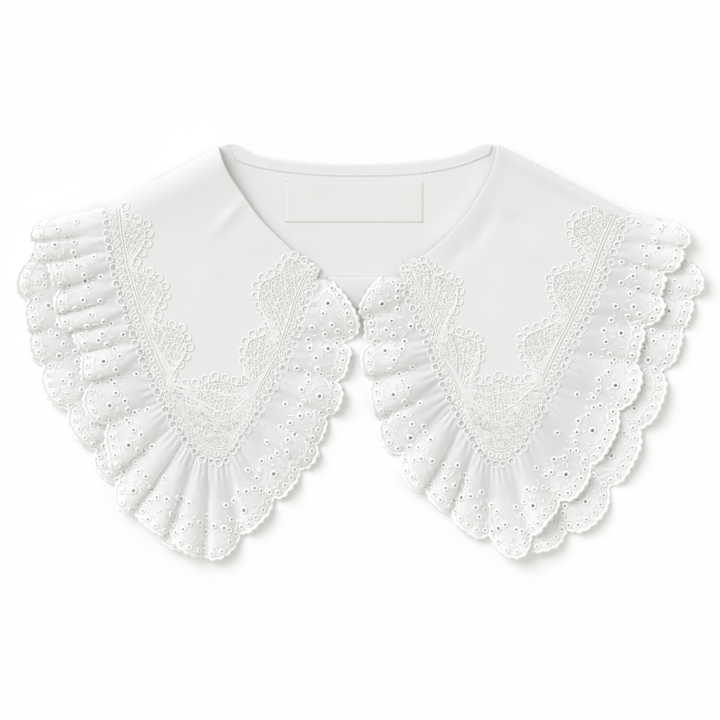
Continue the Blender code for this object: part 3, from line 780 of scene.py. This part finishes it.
class LaceGround:
    """Where a lace lies: a place is a distance along the seam and a distance in from it, towards the lace's
    edge."""

    def __init__(self, wing, edge, bed):
        self.wing, self.seam, self.bed = wing, wing.seam, bed
        edge = columns(EDGE_COLUMNS, edge)
        self.edge_along = edge["along"]
        self.edge = np.column_stack([edge["x"], edge["y"]])
        self.outline = Line(self.edge)
        self.first, self.last = LACE_MARGINS[0], self.seam.length - LACE_MARGINS[1]

    def rib(self, along):
        """Seam point, unit arrow to the lace's edge and the distance to it."""
        foot = self.seam.at(along)
        reach = spline(self.edge_along, self.edge, along) - foot
        length = np.linalg.norm(reach, axis=-1)
        return foot, reach / length[..., None], length

    def rest(self, plan, lift):
        """Points above the wing's cloth and the ruffle's sewn edge by the lift."""
        return with_height(plan, np.maximum(self.wing.height(plan) + CLOTH, self.bed.under(plan)) + lift)

    def lay(self, along, inward, lift):
        """Points at distances along and in from the seam, above a thread's own lift by the lift given."""
        foot, arrow, _ = self.rib(along)
        return self.rest(foot + arrow * inward[..., None], LACE_LIFT + lift)

    def thread(self, along, inward, lift, radius, sides=4):
        """One thread along the lace."""
        return tubes(self.lay(along, inward, lift)[None], radius, sides)

    def rings(self, centres, radius, thick, lift=0.4, corners=12, sides=5):
        """Rings of thread round places in plan, flatter than what lies below them."""
        angle = 2 * np.pi * np.arange(corners) / corners
        radius = np.broadcast_to(radius, len(centres))
        plan = centres[:, None] + radius[:, None, None] * np.stack([np.cos(angle), np.sin(angle)], axis=-1)
        points = self.rest(plan, lift)
        middle = points[..., 2].mean(axis=1, keepdims=True)
        points[..., 2] = middle + (points[..., 2] - middle) * RING_FOLLOWS
        return tubes(points, thick, sides, closed=True)

    def rings_at(self, along, inward, *form):
        """Rings of thread at distances along and in from the seam."""
        foot, arrow, _ = self.rib(along)
        return self.rings(foot + arrow * np.broadcast_to(inward, along.shape)[:, None], *form)


def zigzag(along, repeat, lag):
    """Swing to and fro between 0 and 1, once in each repeat."""
    return 2 * np.abs((along / repeat + lag) % 1 - 0.5)


def corner_width(along):
    """Width of one row of the net that fills the wing's point."""
    return CORNER_ROW * bell(along - LACE_POINT, CORNER_REACH)


def seam_band(ground):
    """Loops over the seam with a small ring between each two, crossing zigzags, and two cords."""
    loops = np.arange(ground.first + 1.5, ground.last - 1, LOOP_SPACING)
    inward = -1.0 - 0.6 * np.sin(loops * 1.9)
    radius = LOOP_RADIUS * (1 + 0.14 * np.sin(loops * 4.1))
    parts = [ground.rings_at(loops + 0.7 * np.sin(loops * 2.7), inward, radius, LACE_THREAD),
             ground.rings_at(loops[:-1] + LOOP_SPACING / 2, 4.2, 1.5, LACE_THREAD, 0.5, 8)]
    fine = np.linspace(ground.first, ground.last, int((ground.last - ground.first) / LACE_STEP))
    for lag in (0.0, 0.5):
        parts.append(ground.thread(fine, 1.4 + 5.2 * zigzag(fine, ZIGZAG, lag), 0.3 * (lag - 0.5), 0.45))
    for inward in BAND_CORDS:
        parts.append(ground.thread(fine, inward + 0.25 * np.sin(fine * 2.4 + inward), 0.2, FINE_THREAD, 6))
    return parts


def corner_net(ground):
    """Net that fills the wing's point: rows of crossing zigzags and of rings, and bent threads across
    them."""
    parts = []
    fill = np.linspace(LACE_POINT - 75, LACE_POINT + 75, 420)
    for row in range(4):
        for lag in (0.0, 0.5):
            swing = zigzag(fill, NET_ZIGZAG, lag + 0.15 * np.sin(fill / 4 + row))
            inward = LACE_BAND + corner_width(fill) * (0.8 * row + 0.1 + 0.9 * swing)
            parts.append(ground.thread(fill, inward, 0.1 * lag, NET_THREAD))
        for shift, radius in ((0.0, 1.5), (3.1, 1.05)):
            spots = np.arange(LACE_POINT - 52 + 2 * row + shift, LACE_POINT + 52, 6.2)
            spots = spots + 0.9 * np.sin(spots * 5.3 + row)
            reach = corner_width(spots) * (0.8 * row + 0.5 + 0.35 * np.sin(spots * 3.7 + 2 * row))
            parts.append(ground.rings_at(spots, LACE_BAND + reach, radius, FINE_THREAD, 0.4, 8))
    bent = np.arange(LACE_POINT - 50, LACE_POINT + 51, 2.9)[:, None]
    step = np.arange(19)[None]
    along = bent + 1.1 * (-1.0) ** step + 0.7 * np.sin(bent * 3.1 + step * 0.9)
    inward = LACE_BAND + 3.2 * corner_width(bent) * step / 18
    parts.append(tubes(ground.lay(along, inward, 0.1), RUNG_THREAD))
    return parts


def ribs(ground, spacing, slant, lift):
    """Paths of ribs from the band, or from the net at the wing's point, to the lace's edge. They slant
    towards the point."""
    at_edge = np.arange(ground.first - 10, ground.last + 10, spacing)
    at_edge = (at_edge + 0.5 * np.sin(at_edge * 2.1))[:, None]
    rise = np.linspace(0, 1, 13)[None]
    along = at_edge + slant * np.clip((LACE_POINT - at_edge) / 40, -1, 1) * (1 - rise)
    along = np.clip(along, ground.first, ground.last)
    _, _, length = ground.rib(along)
    start = LACE_BAND + 3 * corner_width(along)
    return ground.lay(along, start + np.maximum(length - start - 2.6, 0.1) * rise, lift)


def rungs(ground, rib):
    """Rungs in every second gap between the ribs, and small rings in the other gaps where they are wide."""
    count = len(rib) // 2 * 2
    pairs = np.stack([rib[:count:2, 1:-1], rib[1:count:2, 1:-1]], axis=2).reshape(-1, 2, 3)
    here, there = rib[1:count - 1:2, 2::3], rib[2:count:2, 2::3]
    wide = np.linalg.norm(here - there, axis=-1) > 2.2
    spots = ((here + there) / 2)[wide][:, :2]
    return [tubes(pairs, RUNG_THREAD), ground.rings(spots, 1.05, FINE_THREAD, 0.4, 8, 4)]


def rosettes(ground, meetings):
    """Two rings, one in the other, midway between band and edge where two fans meet."""
    along = np.array(meetings, float)
    _, _, length = ground.rib(along)
    middle = LACE_BAND + (length - LACE_BAND) * 0.5
    return [ground.rings_at(along, middle, radius, LACE_THREAD, 0.55, 10) for radius in ROSETTE_RADII]


def fans(ground, meetings):
    """A wavy cord inside the lace's edge, rows of rings in the fans, and two cords across the wing's
    point."""
    end = ground.edge_along[-1]
    around = np.linspace(ground.first, end, int(ground.last / LACE_STEP))
    _, _, length = ground.rib(around)
    inward = np.maximum(length - 2.7 + 0.35 * np.sin(around * 2.9), LACE_BAND + 0.6)
    parts = [ground.thread(around, inward, 0.35, LACE_THREAD, 6)]
    for row, inset in enumerate(FAN_RINGS):
        spots = np.arange(ground.first + 2 + 1.9 * (row % 2), end - 2, FAN_RING_SPACING)
        spots = spots + 0.9 * np.sin(spots * 3.3 + row)
        _, _, fan = ground.rib(spots)
        inward = fan - inset + 0.8 * np.sin(spots * 2.3 + row)
        radius = 1.35 + 0.3 * np.sin(spots * 5.1 + row)
        fits = inward > LACE_BAND + 1.2
        parts.append(ground.rings_at(spots[fits], inward[fits], radius[fits], FINE_THREAD, 0.45, 9, 4))
    point = (around > meetings[2]) & (around < meetings[3])
    for share in (0.5, 0.75):
        inward = LACE_BAND + (length[point] - LACE_BAND) * share
        parts.append(ground.thread(around[point], inward, 0.3, LACE_THREAD, 6))
    return parts


def edge_rings(ground, end_rings):
    """Picot rings along the lace's edge, and the rings that fill its end beside the neck."""
    length = ground.outline.length
    picots = ground.outline.at(np.linspace(2.6, length - 2.6, int(length / PICOT_SPACING)))
    return [ground.rings(picots, PICOT_RADIUS, LACE_THREAD),
            ground.rings(np.array(end_rings), END_RING_RADIUS, LACE_THREAD, 0.5)]


def lace_threads(ground, meetings, end_rings):
    """Threads of a guipure lace: band, net, ribs with rungs, thinner ribs across them, rosettes, fans and
    edge. Small sine terms shift and resize their parts a little, so that no two are quite alike."""
    main_ribs = ribs(ground, RIB_SPACING, RIB_SLANT, 0.0)
    thin_ribs = ribs(ground, 3 * RIB_SPACING, -RIB_SLANT, -0.12)
    return joined([
        *seam_band(ground), *corner_net(ground),
        tubes(main_ribs, RIB_THREAD), *rungs(ground, main_ribs), tubes(thin_ribs, RUNG_THREAD),
        *rosettes(ground, meetings), *fans(ground, meetings), *edge_rings(ground, end_rings),
    ])


def srgb(code):
    """A colour from its hexadecimal sRGB code, made linear."""
    value = np.array([int(code[i:i + 2], 16) for i in (0, 2, 4)]) / 255
    return tuple(np.where(value <= 0.04045, value / 12.92, ((value + 0.055) / 1.055) ** 2.4))


def add_node(tree, kind, settings=None, **inputs):
    """A node with its settings, and its inputs as values or as links from other nodes' outputs. An input is
    given by its name, or by i and its number."""
    node = tree.nodes.new(kind)
    for key, value in (settings or {}).items():
        setattr(node, key, value)
    for key, value in inputs.items():
        numbered = key[0] == "i" and key[1:].isdigit()
        socket = node.inputs[int(key[1:]) if numbered else key.replace("_", " ")]
        if isinstance(value, bpy.types.NodeSocket):
            tree.links.new(value, socket)
        else:
            socket.default_value = value
    return node


def weave_bump(tree, place, weave, weave_height):
    """Normals of threads as two waves across each other, with a soft fuzz of fibres on them."""
    waves = [add_node(tree, "ShaderNodeTexWave", {"bands_direction": direction}, Vector=place,
                      Scale=WAVE_AT_SCALE_ONE / (weave * MM), Distortion=0.4) for direction in "XY"]
    warp, weft = (wave.outputs["Fac"] for wave in waves)
    cross = add_node(tree, "ShaderNodeMath", {"operation": "ADD"}, i0=warp, i1=weft)
    fuzz = add_node(tree, "ShaderNodeTexNoise", Vector=place, Scale=FUZZ_SCALE, Detail=2.0)
    both = add_node(tree, "ShaderNodeMath", {"operation": "ADD"}, i0=cross.outputs[0], i1=fuzz.outputs["Fac"])
    bump = add_node(tree, "ShaderNodeBump", Height=both.outputs[0], Strength=0.25, Distance=weave_height * MM)
    return bump.outputs["Normal"]


def cloth_material(name, colour, shade, roughness, weave, weave_height, through):
    """A white cloth: colour that drifts a little between colour and shade over 20 mm, threads whose spacing
    is weave in millimetres, a soft sheen of fibres, and a share of light let through its wall."""
    material = bpy.data.materials.new(name)
    material.use_nodes = True
    tree = material.node_tree
    shader = tree.nodes["Principled BSDF"]
    place = add_node(tree, "ShaderNodeTexCoord").outputs["Object"]
    drift = add_node(tree, "ShaderNodeTexNoise", Vector=place, Scale=DRIFT_SCALE, Detail=3.0).outputs["Fac"]
    mix = add_node(tree, "ShaderNodeMix", {"data_type": "RGBA"}, i0=drift, i6=(*colour, 1), i7=(*shade, 1))
    tree.links.new(mix.outputs[2], shader.inputs["Base Color"])
    tree.links.new(weave_bump(tree, place, weave, weave_height), shader.inputs["Normal"])
    values = {
        "Roughness": roughness,
        "Sheen Weight": 0.1,
        "Sheen Roughness": 0.5,
        "Subsurface Weight": through,
        "Subsurface Radius": (CLOTH_SCATTER * MM,) * 3,
        "Subsurface Scale": 1.0,
        "Specular IOR Level": 0.3,
    }
    for socket, value in values.items():
        shader.inputs[socket].default_value = value


def materials():
    """The collar's finishes, made once. Their threads are 0.2 to 0.3 mm apart in the real cloth, finer than a
    pixel, so their waves are drawn at 0.7 to 0.9 mm."""
    cloth = bpy.context.scene.collar_cloth
    if "cotton poplin" in bpy.data.materials:
        return bpy.data.materials
    # Fine plain weave in two layers: matt and even, with a faint drift of tone where it was pressed
    cloth_material("cotton poplin", cloth.cotton, cloth.cotton_shade, 0.8, 0.9, 0.05, 0.2)
    # One thin layer of soft cotton: light passes through it, so that its valleys stay bright
    cloth_material("eyelet cotton", cloth.eyelet_cotton, cloth.eyelet_cotton, 0.82, 0.9, 0.05, 1.0)
    # Smooth twisted thread: brighter than the band that it crosses
    cloth_material("sewing thread", cloth.sewing_thread, cloth.sewing_thread, 0.6, 0.8, 0.12, 0.1)
    # Mercerised cotton in satin stitch: the glossiest thread here, so that petals and rings catch the light
    cloth_material("embroidery thread", cloth.thread, cloth.thread, 0.55, 0.8, 0.12, 0.2)
    # Thick corded thread, rougher to the eye, which shades itself where the lace is dense
    cloth_material("guipure lace thread", cloth.thread, cloth.thread, 0.6, 0.8, 0.15, 0.1)
    # Tight satin weave with long floats: smoother than the cotton round it
    cloth_material("woven label satin", cloth.label, cloth.label, 0.4, 0.7, 0.06, 0.1)
    return bpy.data.materials


def colour_setting(name, description, default):
    """A colour property, linear, shown as a swatch."""
    return bpy.props.FloatVectorProperty(name=name, description=description, subtype="COLOR", size=3,
                                         default=default)


class CollarCloth(bpy.types.PropertyGroup):
    """Colours of the cloths and threads"""
    cotton: colour_setting("Cotton", "Colour of the plain panels", srgb("E8E8E7"))
    cotton_shade: colour_setting("Cotton shade", "Colour that the cotton drifts to", srgb("E5E5E4"))
    eyelet_cotton: colour_setting("Eyelet cotton", "Colour of the ruffles", srgb("FAFAF9"))
    thread: colour_setting("Thread", "Colour of lace and embroidery", srgb("F8F8F6"))
    sewing_thread: colour_setting("Sewing thread", "Colour of the neck band's topstitching", srgb("FCFCFB"))
    label: colour_setting("Label", "Colour of the blank woven label", srgb("E6E6E4"))


class CollarStage(bpy.types.PropertyGroup):
    """Card, light and camera"""
    floor: colour_setting("Floor", "Colour of the surface below", srgb("FAFAFA"))
    sky: bpy.props.FloatProperty(name="Sky light", description="Strength of the even light",
                                 default=0.73, min=0)
    sky_colour: colour_setting("Sky colour", "Colour of the even light", (1.0, 1.0, 0.955))
    key: bpy.props.FloatProperty(name="Key light", description="Strength of the soft light",
                                 default=1.54, min=0)
    key_colour: colour_setting("Key colour", "Colour of the soft light", (0.905, 0.905, 1.0))
    key_size: bpy.props.FloatProperty(name="Key size", description="Angle that the soft light fills",
                                      default=math.radians(38), min=0, subtype="ANGLE", unit="ROTATION")
    camera_height: bpy.props.FloatProperty(name="Camera height", description="Height above the table",
                                           default=2.4, min=0.1, subtype="DISTANCE", unit="LENGTH")


def rows_of(shares, counts):
    """Row places between the given shares, with their counts."""
    parts = [np.linspace(a, b, n, endpoint=False) for a, b, n in zip(shares[:-1], shares[1:], counts)]
    return np.concatenate(parts + [[shares[-1]]])


def between(upper, lower, rows):
    """Plan points on straight lines from an upper row of points to a lower one."""
    rows = rows[:, None, None]
    return upper[None] * (1 - rows) + lower[None] * rows


def back_half(neck, corner, shoulder, side, seam):
    """Upper and lower row of one half of the back: from the wing's shoulder along the fold to the neck's
    corner and on to the middle of the neck, and along the seam below."""
    shares = np.linspace(0, 1, 90)
    on_shoulder = np.clip(shares / SHOULDER_SHARE, 0, 1)[:, None]
    on_neck = np.clip((shares - SHOULDER_SHARE) / (1 - SHOULDER_SHARE), 0, 1)
    line = np.array(shoulder) * (1 - on_shoulder) + np.array(corner) * on_shoulder
    curve = neck.at((side + (0.5 - side) * on_neck) * neck.length)
    return np.where(shares[:, None] <= SHOULDER_SHARE, line, curve), seam.at(shares * seam.length)


def back_plan():
    """The back's plan: columns from its shoulders and neck down to its seams, with a bridge in the middle."""
    neck = Line(BACK_NECK)
    left_top, left_foot = back_half(neck, BACK_NECK[0], SEAM_LEFT[0], 0, Line(BACK_SEAM_LEFT))
    right_top, right_foot = back_half(neck, BACK_NECK[-1], SEAM_RIGHT[0], 1, Line(BACK_SEAM_RIGHT))
    gap = np.linspace(0, 1, 18)[1:-1, None]
    middle = left_top[-1]
    inner = middle + (gap - 0.5) * 1.5 * (1, 0)
    top_bridge = np.concatenate([[middle - (1, 0)], inner, [right_top[-1] + (1, 0)]])
    foot_bridge = left_foot[-1] * (1 - gap) + right_foot[-1] * gap
    upper = np.concatenate([left_top[:-1], top_bridge, right_top[-2::-1]])
    lower = np.concatenate([left_foot, foot_bridge, right_foot[::-1]])
    return between(upper, lower, rows_of((0, 0.01, 1), (4, 60)))


def lining_height(plan):
    """Underside of the back: flat on the table, with slow ripples towards the neck, and rising to the right
    wing's neck edge."""
    x, y = plan[..., 0], plan[..., 1]
    ripple = 0.35 + 0.35 * np.sin(x / 19 + y / 31) * np.sin(y / 17 - x / 43)
    window = np.clip((y - 56) / 16, 0, 1) * np.clip((117 - y) / 12, 0, 1)
    rise = LINING_RISE * window * bell(Line(NECK_RIGHT).away(plan), 6)
    return LINING_REST + ripple * np.clip((y + 20) / 60, 0, 1) * 0.7 + rise


def make_lining(cloth):
    """The back half, inside up, as one thick sheet."""
    plan = back_plan()
    return pillow("back_lining", with_height(plan, lining_height(plan)), LINING, 0.6, cloth, "cotton", rim=0)


def make_band(cloth):
    """Narrow turned band along the back neck edge."""
    top, foot = Line(BAND_TOP), Line(BAND_FOOT)
    share = np.linspace(0, 1, 120)
    plan = between(top.at(share * top.length), foot.at(share * foot.length), rows_of((0, 1), (10,)))
    points = with_height(plan, lining_height(plan) + LINING + SEWN_GAP)
    return pillow("neck_band", points, BAND_WALL, 0.5, cloth, "cotton", rim=0)


def make_topstitch(thread):
    """Stitches along the band's foot, each a short thread that dips into the cloth at its ends."""
    foot = Line(BAND_FOOT)
    starts = np.arange(4, foot.length - 4, STITCH_SPACING)
    plan = foot.at(starts[:, None] + np.array(STITCH_ALONG)) + (0, STITCH_INSET)
    points = with_height(plan, lining_height(plan) + LINING + BAND_WALL + 0.05)
    return new_piece("band_topstitch", *tubes(points, STITCH_THICK), thread, "cotton")


def make_label(satin):
    """Label with the ridge of its turned left end."""
    x, y = np.meshgrid(np.linspace(LABEL_LEFT, LABEL_RIGHT, 90), np.linspace(LABEL_TOP, LABEL_FOOT, 40))
    plan = np.stack([x, y], axis=-1)
    ridge = 0.22 * bell(x - LABEL_LEFT - 1.3, 0.5)
    points = with_height(plan, lining_height(plan) + LINING + SEWN_GAP + ridge)
    return pillow("woven_label", points, LABEL_WALL, 0.3, satin, "label_satin", rim=0)


def make_tab(cloth):
    """Plain piece that joins the wings at the centre front."""
    down = rows_of((0, 1), (24,))[:, None]
    x = np.linspace(-1, 1, 50) * (TAB_TOP_HALF * (1 - down) + TAB_FOOT_HALF * down)
    y = np.broadcast_to(TAB_TOP * (1 - down) + TAB_FOOT * down, x.shape)
    points = np.stack([x, y, np.full(x.shape, TAB_REST)], axis=-1)
    return pillow("closing_tab", points, TAB_WALL, 0.5, cloth, "cotton", rim=0)


class COLLAR_OT_back(bpy.types.Operator):
    """Back lining, neck band, blank label and closing tab"""
    bl_idname = "collar.back"
    bl_label = "Back, band, label and tab"

    def execute(self, context):
        found = materials()
        lining = make_lining(found["cotton poplin"])
        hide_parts("back_panel")
        band = make_band(found["cotton poplin"])
        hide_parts("back_neck_band")
        stitches = make_topstitch(found["sewing thread"])
        label = make_label(found["woven label satin"])
        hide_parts("label")
        tab = make_tab(found["cotton poplin"])
        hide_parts("front_tab")
        return {"FINISHED"}


Side = namedtuple("Side", ("name", "wing", "edge", "meetings", "end_rings", "folds", "ends", "back_seam",
                           "back_folds", "back_ends"))


def sides():
    """What each side of the collar is made from."""
    return (
        Side("left", Wing(NECK_LEFT, SEAM_LEFT, FORM_LEFT), LACE_EDGE_LEFT, LACE_MEETINGS_LEFT,
             END_RINGS_LEFT, RUFFLE_LEFT, RUFFLE_LEFT_ENDS, Line(BACK_SEAM_LEFT), BACK_RUFFLE_LEFT,
             BACK_RUFFLE_LEFT_ENDS),
        Side("right", Wing(NECK_RIGHT, SEAM_RIGHT, FORM_RIGHT), LACE_EDGE_RIGHT, LACE_MEETINGS_RIGHT,
             END_RINGS_RIGHT, RUFFLE_RIGHT, RUFFLE_RIGHT_ENDS, Line(BACK_SEAM_RIGHT), BACK_RUFFLE_RIGHT,
             BACK_RUFFLE_RIGHT_ENDS),
    )


class COLLAR_OT_wings(bpy.types.Operator):
    """The two pointed wings of plain cotton"""
    bl_idname = "collar.wings"
    bl_label = "Wings"

    def execute(self, context):
        cloth = materials()["cotton poplin"]
        near_fold = np.array(NEAR_FOLD)
        share = np.concatenate([np.zeros(len(near_fold) - 1), np.linspace(0, 1, 180)])
        fold_distance = np.concatenate([near_fold[:-1], np.full(180, near_fold[-1])])
        share, depth = np.meshgrid(share, rows_of((0, 0.008, 0.99, 1), (5, 66, 3)))
        for side in sides():
            plan = side.wing.plan(share, np.broadcast_to(fold_distance, share.shape), depth)
            points = with_height(plan, side.wing.height(plan))
            piece = pillow(f"wing_{side.name}", points, CLOTH, 0.7, cloth, "cotton")
            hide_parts(f"front_{side.name}")
        return {"FINISHED"}


def make_ruffle(kind, side, grid, first_row, found):
    """A ruffle's cloth and the embroidery on it."""
    piece, eyelets = eyelet_cloth(f"{kind}_{side}", *grid, first_row, found["eyelet cotton"])
    stitched = embroidery(f"{kind}_embroidery_{side}", *grid, first_row, eyelets, found["embroidery thread"])
    return piece, stitched


def bed_of(below):
    """What a front ruffle lies on: the back ruffle below it and the closing tab."""
    bed = Bed(RUFFLE_FALL)
    bed.add(below + upright(below) * RUFFLE_WALL)
    x, y = np.meshgrid(np.arange(-TAB_TOP_HALF, TAB_TOP_HALF + 1), np.arange(TAB_FOOT, TAB_TOP + 1))
    bed.add(np.stack([x, y, np.full(x.shape, TAB_REST + TAB_WALL)], axis=-1))
    bed.spread()
    return bed


def sewn_edge_of(above):
    """The sewn edge of a front ruffle, which the lace covers."""
    edge = Bed(SEWN_EDGE_FALL)
    edge.add((above + upright(above) * RUFFLE_WALL)[:8])
    edge.spread()
    return edge


class COLLAR_OT_ruffles(bpy.types.Operator):
    """Gathered eyelet ruffles of the front and back, with their embroidery, and the lace on the front"""
    bl_idname = "collar.ruffles"
    bl_label = "Eyelet ruffles and lace"

    def execute(self, context):
        found = materials()
        for side in sides():
            name = side.name
            below = ruffle_grid(side.back_seam, side.back_folds, side.back_ends, BACK_LIFT,
                                rows_of((0, 0.4, 1), (7, 22)), None)
            piece, stitched = make_ruffle("back_frill", name, below, 8, found)
            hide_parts(f"back_ruffle_{name}")
            above = ruffle_grid(side.wing.seam, side.folds, side.ends, FRONT_LIFT, rows_of((0, 1), (36,)),
                                bed_of(below[0]), side.wing)
            piece, stitched = make_ruffle("frill", name, above, 4, found)
            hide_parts(f"ruffle_{name}")
            ground = LaceGround(side.wing, side.edge, sewn_edge_of(above[0]))
            threads = lace_threads(ground, side.meetings, side.end_rings)
            guipure = new_piece(f"guipure_{name}", *threads, found["guipure lace thread"], "lace_thread")
            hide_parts(f"lace_{name}")
        return {"FINISHED"}


def add_to_scene(scene, name, data):
    """A new object of the stage with its data."""
    item = bpy.data.objects.new(name, data)
    scene.collection.objects.link(item)
    return item


def make_floor(scene, settings):
    """A matt white card, a hair below the collar."""
    mesh = bpy.data.meshes.new("floor")
    corners = [(x * FLOOR_HALF, y * FLOOR_HALF, FLOOR_Z) for x, y in ((-1, -1), (1, -1), (1, 1), (-1, 1))]
    mesh.from_pydata(corners, [], [(0, 1, 2, 3)])
    floor = add_to_scene(scene, "floor", mesh)
    material = bpy.data.materials.new("white card")
    material.use_nodes = True
    shader = material.node_tree.nodes["Principled BSDF"]
    shader.inputs["Base Color"].default_value = (*settings.floor, 1)
    shader.inputs["Roughness"].default_value = 1.0
    shader.inputs["Specular IOR Level"].default_value = 0.0
    mesh.materials.append(material)


def make_lights(scene, settings):
    """Even light from all round, and a soft one from the upper left."""
    world = bpy.data.worlds.new("even light")
    world.use_nodes = True
    background = world.node_tree.nodes["Background"]
    background.inputs["Strength"].default_value = settings.sky
    background.inputs["Color"].default_value = (*settings.sky_colour, 1)
    scene.world = world
    light = bpy.data.lights.new("soft key", "SUN")
    light.angle = settings.key_size
    light.energy = settings.key
    light.color = settings.key_colour
    key = add_to_scene(scene, "soft key", light)
    key.rotation_euler = (KEY_TILT, 0, KEY_AZIMUTH)


def make_camera(scene, settings):
    """A camera straight above, which takes in the photo's width at the table."""
    data = bpy.data.cameras.new("camera")
    data.sensor_width = SENSOR_WIDTH
    data.lens = SENSOR_WIDTH * settings.camera_height / VIEW_WIDTH
    camera = add_to_scene(scene, "camera", data)
    camera.location = (0, VIEW_MIDDLE_Y, settings.camera_height)
    scene.camera = camera


class COLLAR_OT_stage(bpy.types.Operator):
    """Pale surface, soft light and the camera straight above"""
    bl_idname = "collar.stage"
    bl_label = "Stage"

    def execute(self, context):
        settings = context.scene.collar_stage
        make_floor(context.scene, settings)
        make_lights(context.scene, settings)
        make_camera(context.scene, settings)
        context.scene.view_settings.view_transform = "Standard"
        context.scene.cycles.diffuse_bounces = BOUNCES
        context.scene.cycles.max_bounces = BOUNCES
        return {"FINISHED"}


class COLLAR_PT_panel(bpy.types.Panel):
    """Settings, and the pieces in the order in which they are made"""
    bl_label = "Statement collar"
    bl_space_type = "VIEW_3D"
    bl_region_type = "UI"
    bl_category = "Collar"

    def draw(self, context):
        for settings in (context.scene.collar_cloth, context.scene.collar_stage):
            for name in settings.__annotations__:
                self.layout.prop(settings, name)
        for operator in OPERATORS:
            self.layout.operator(operator.bl_idname)


OPERATORS = (COLLAR_OT_back, COLLAR_OT_wings, COLLAR_OT_ruffles, COLLAR_OT_stage)
CLASSES = (CollarCloth, CollarStage, *OPERATORS, COLLAR_PT_panel)


def register():
    for one in CLASSES:
        bpy.utils.register_class(one)
    bpy.types.Scene.collar_cloth = bpy.props.PointerProperty(type=CollarCloth)
    bpy.types.Scene.collar_stage = bpy.props.PointerProperty(type=CollarStage)


def unregister():
    del bpy.types.Scene.collar_stage
    del bpy.types.Scene.collar_cloth
    for one in reversed(CLASSES):
        bpy.utils.unregister_class(one)


def main():
    register()
    bpy.ops.collar.back()
    bpy.ops.collar.wings()
    bpy.ops.collar.ruffles()
    bpy.ops.collar.stage()


if __name__ == "__main__":
    main()
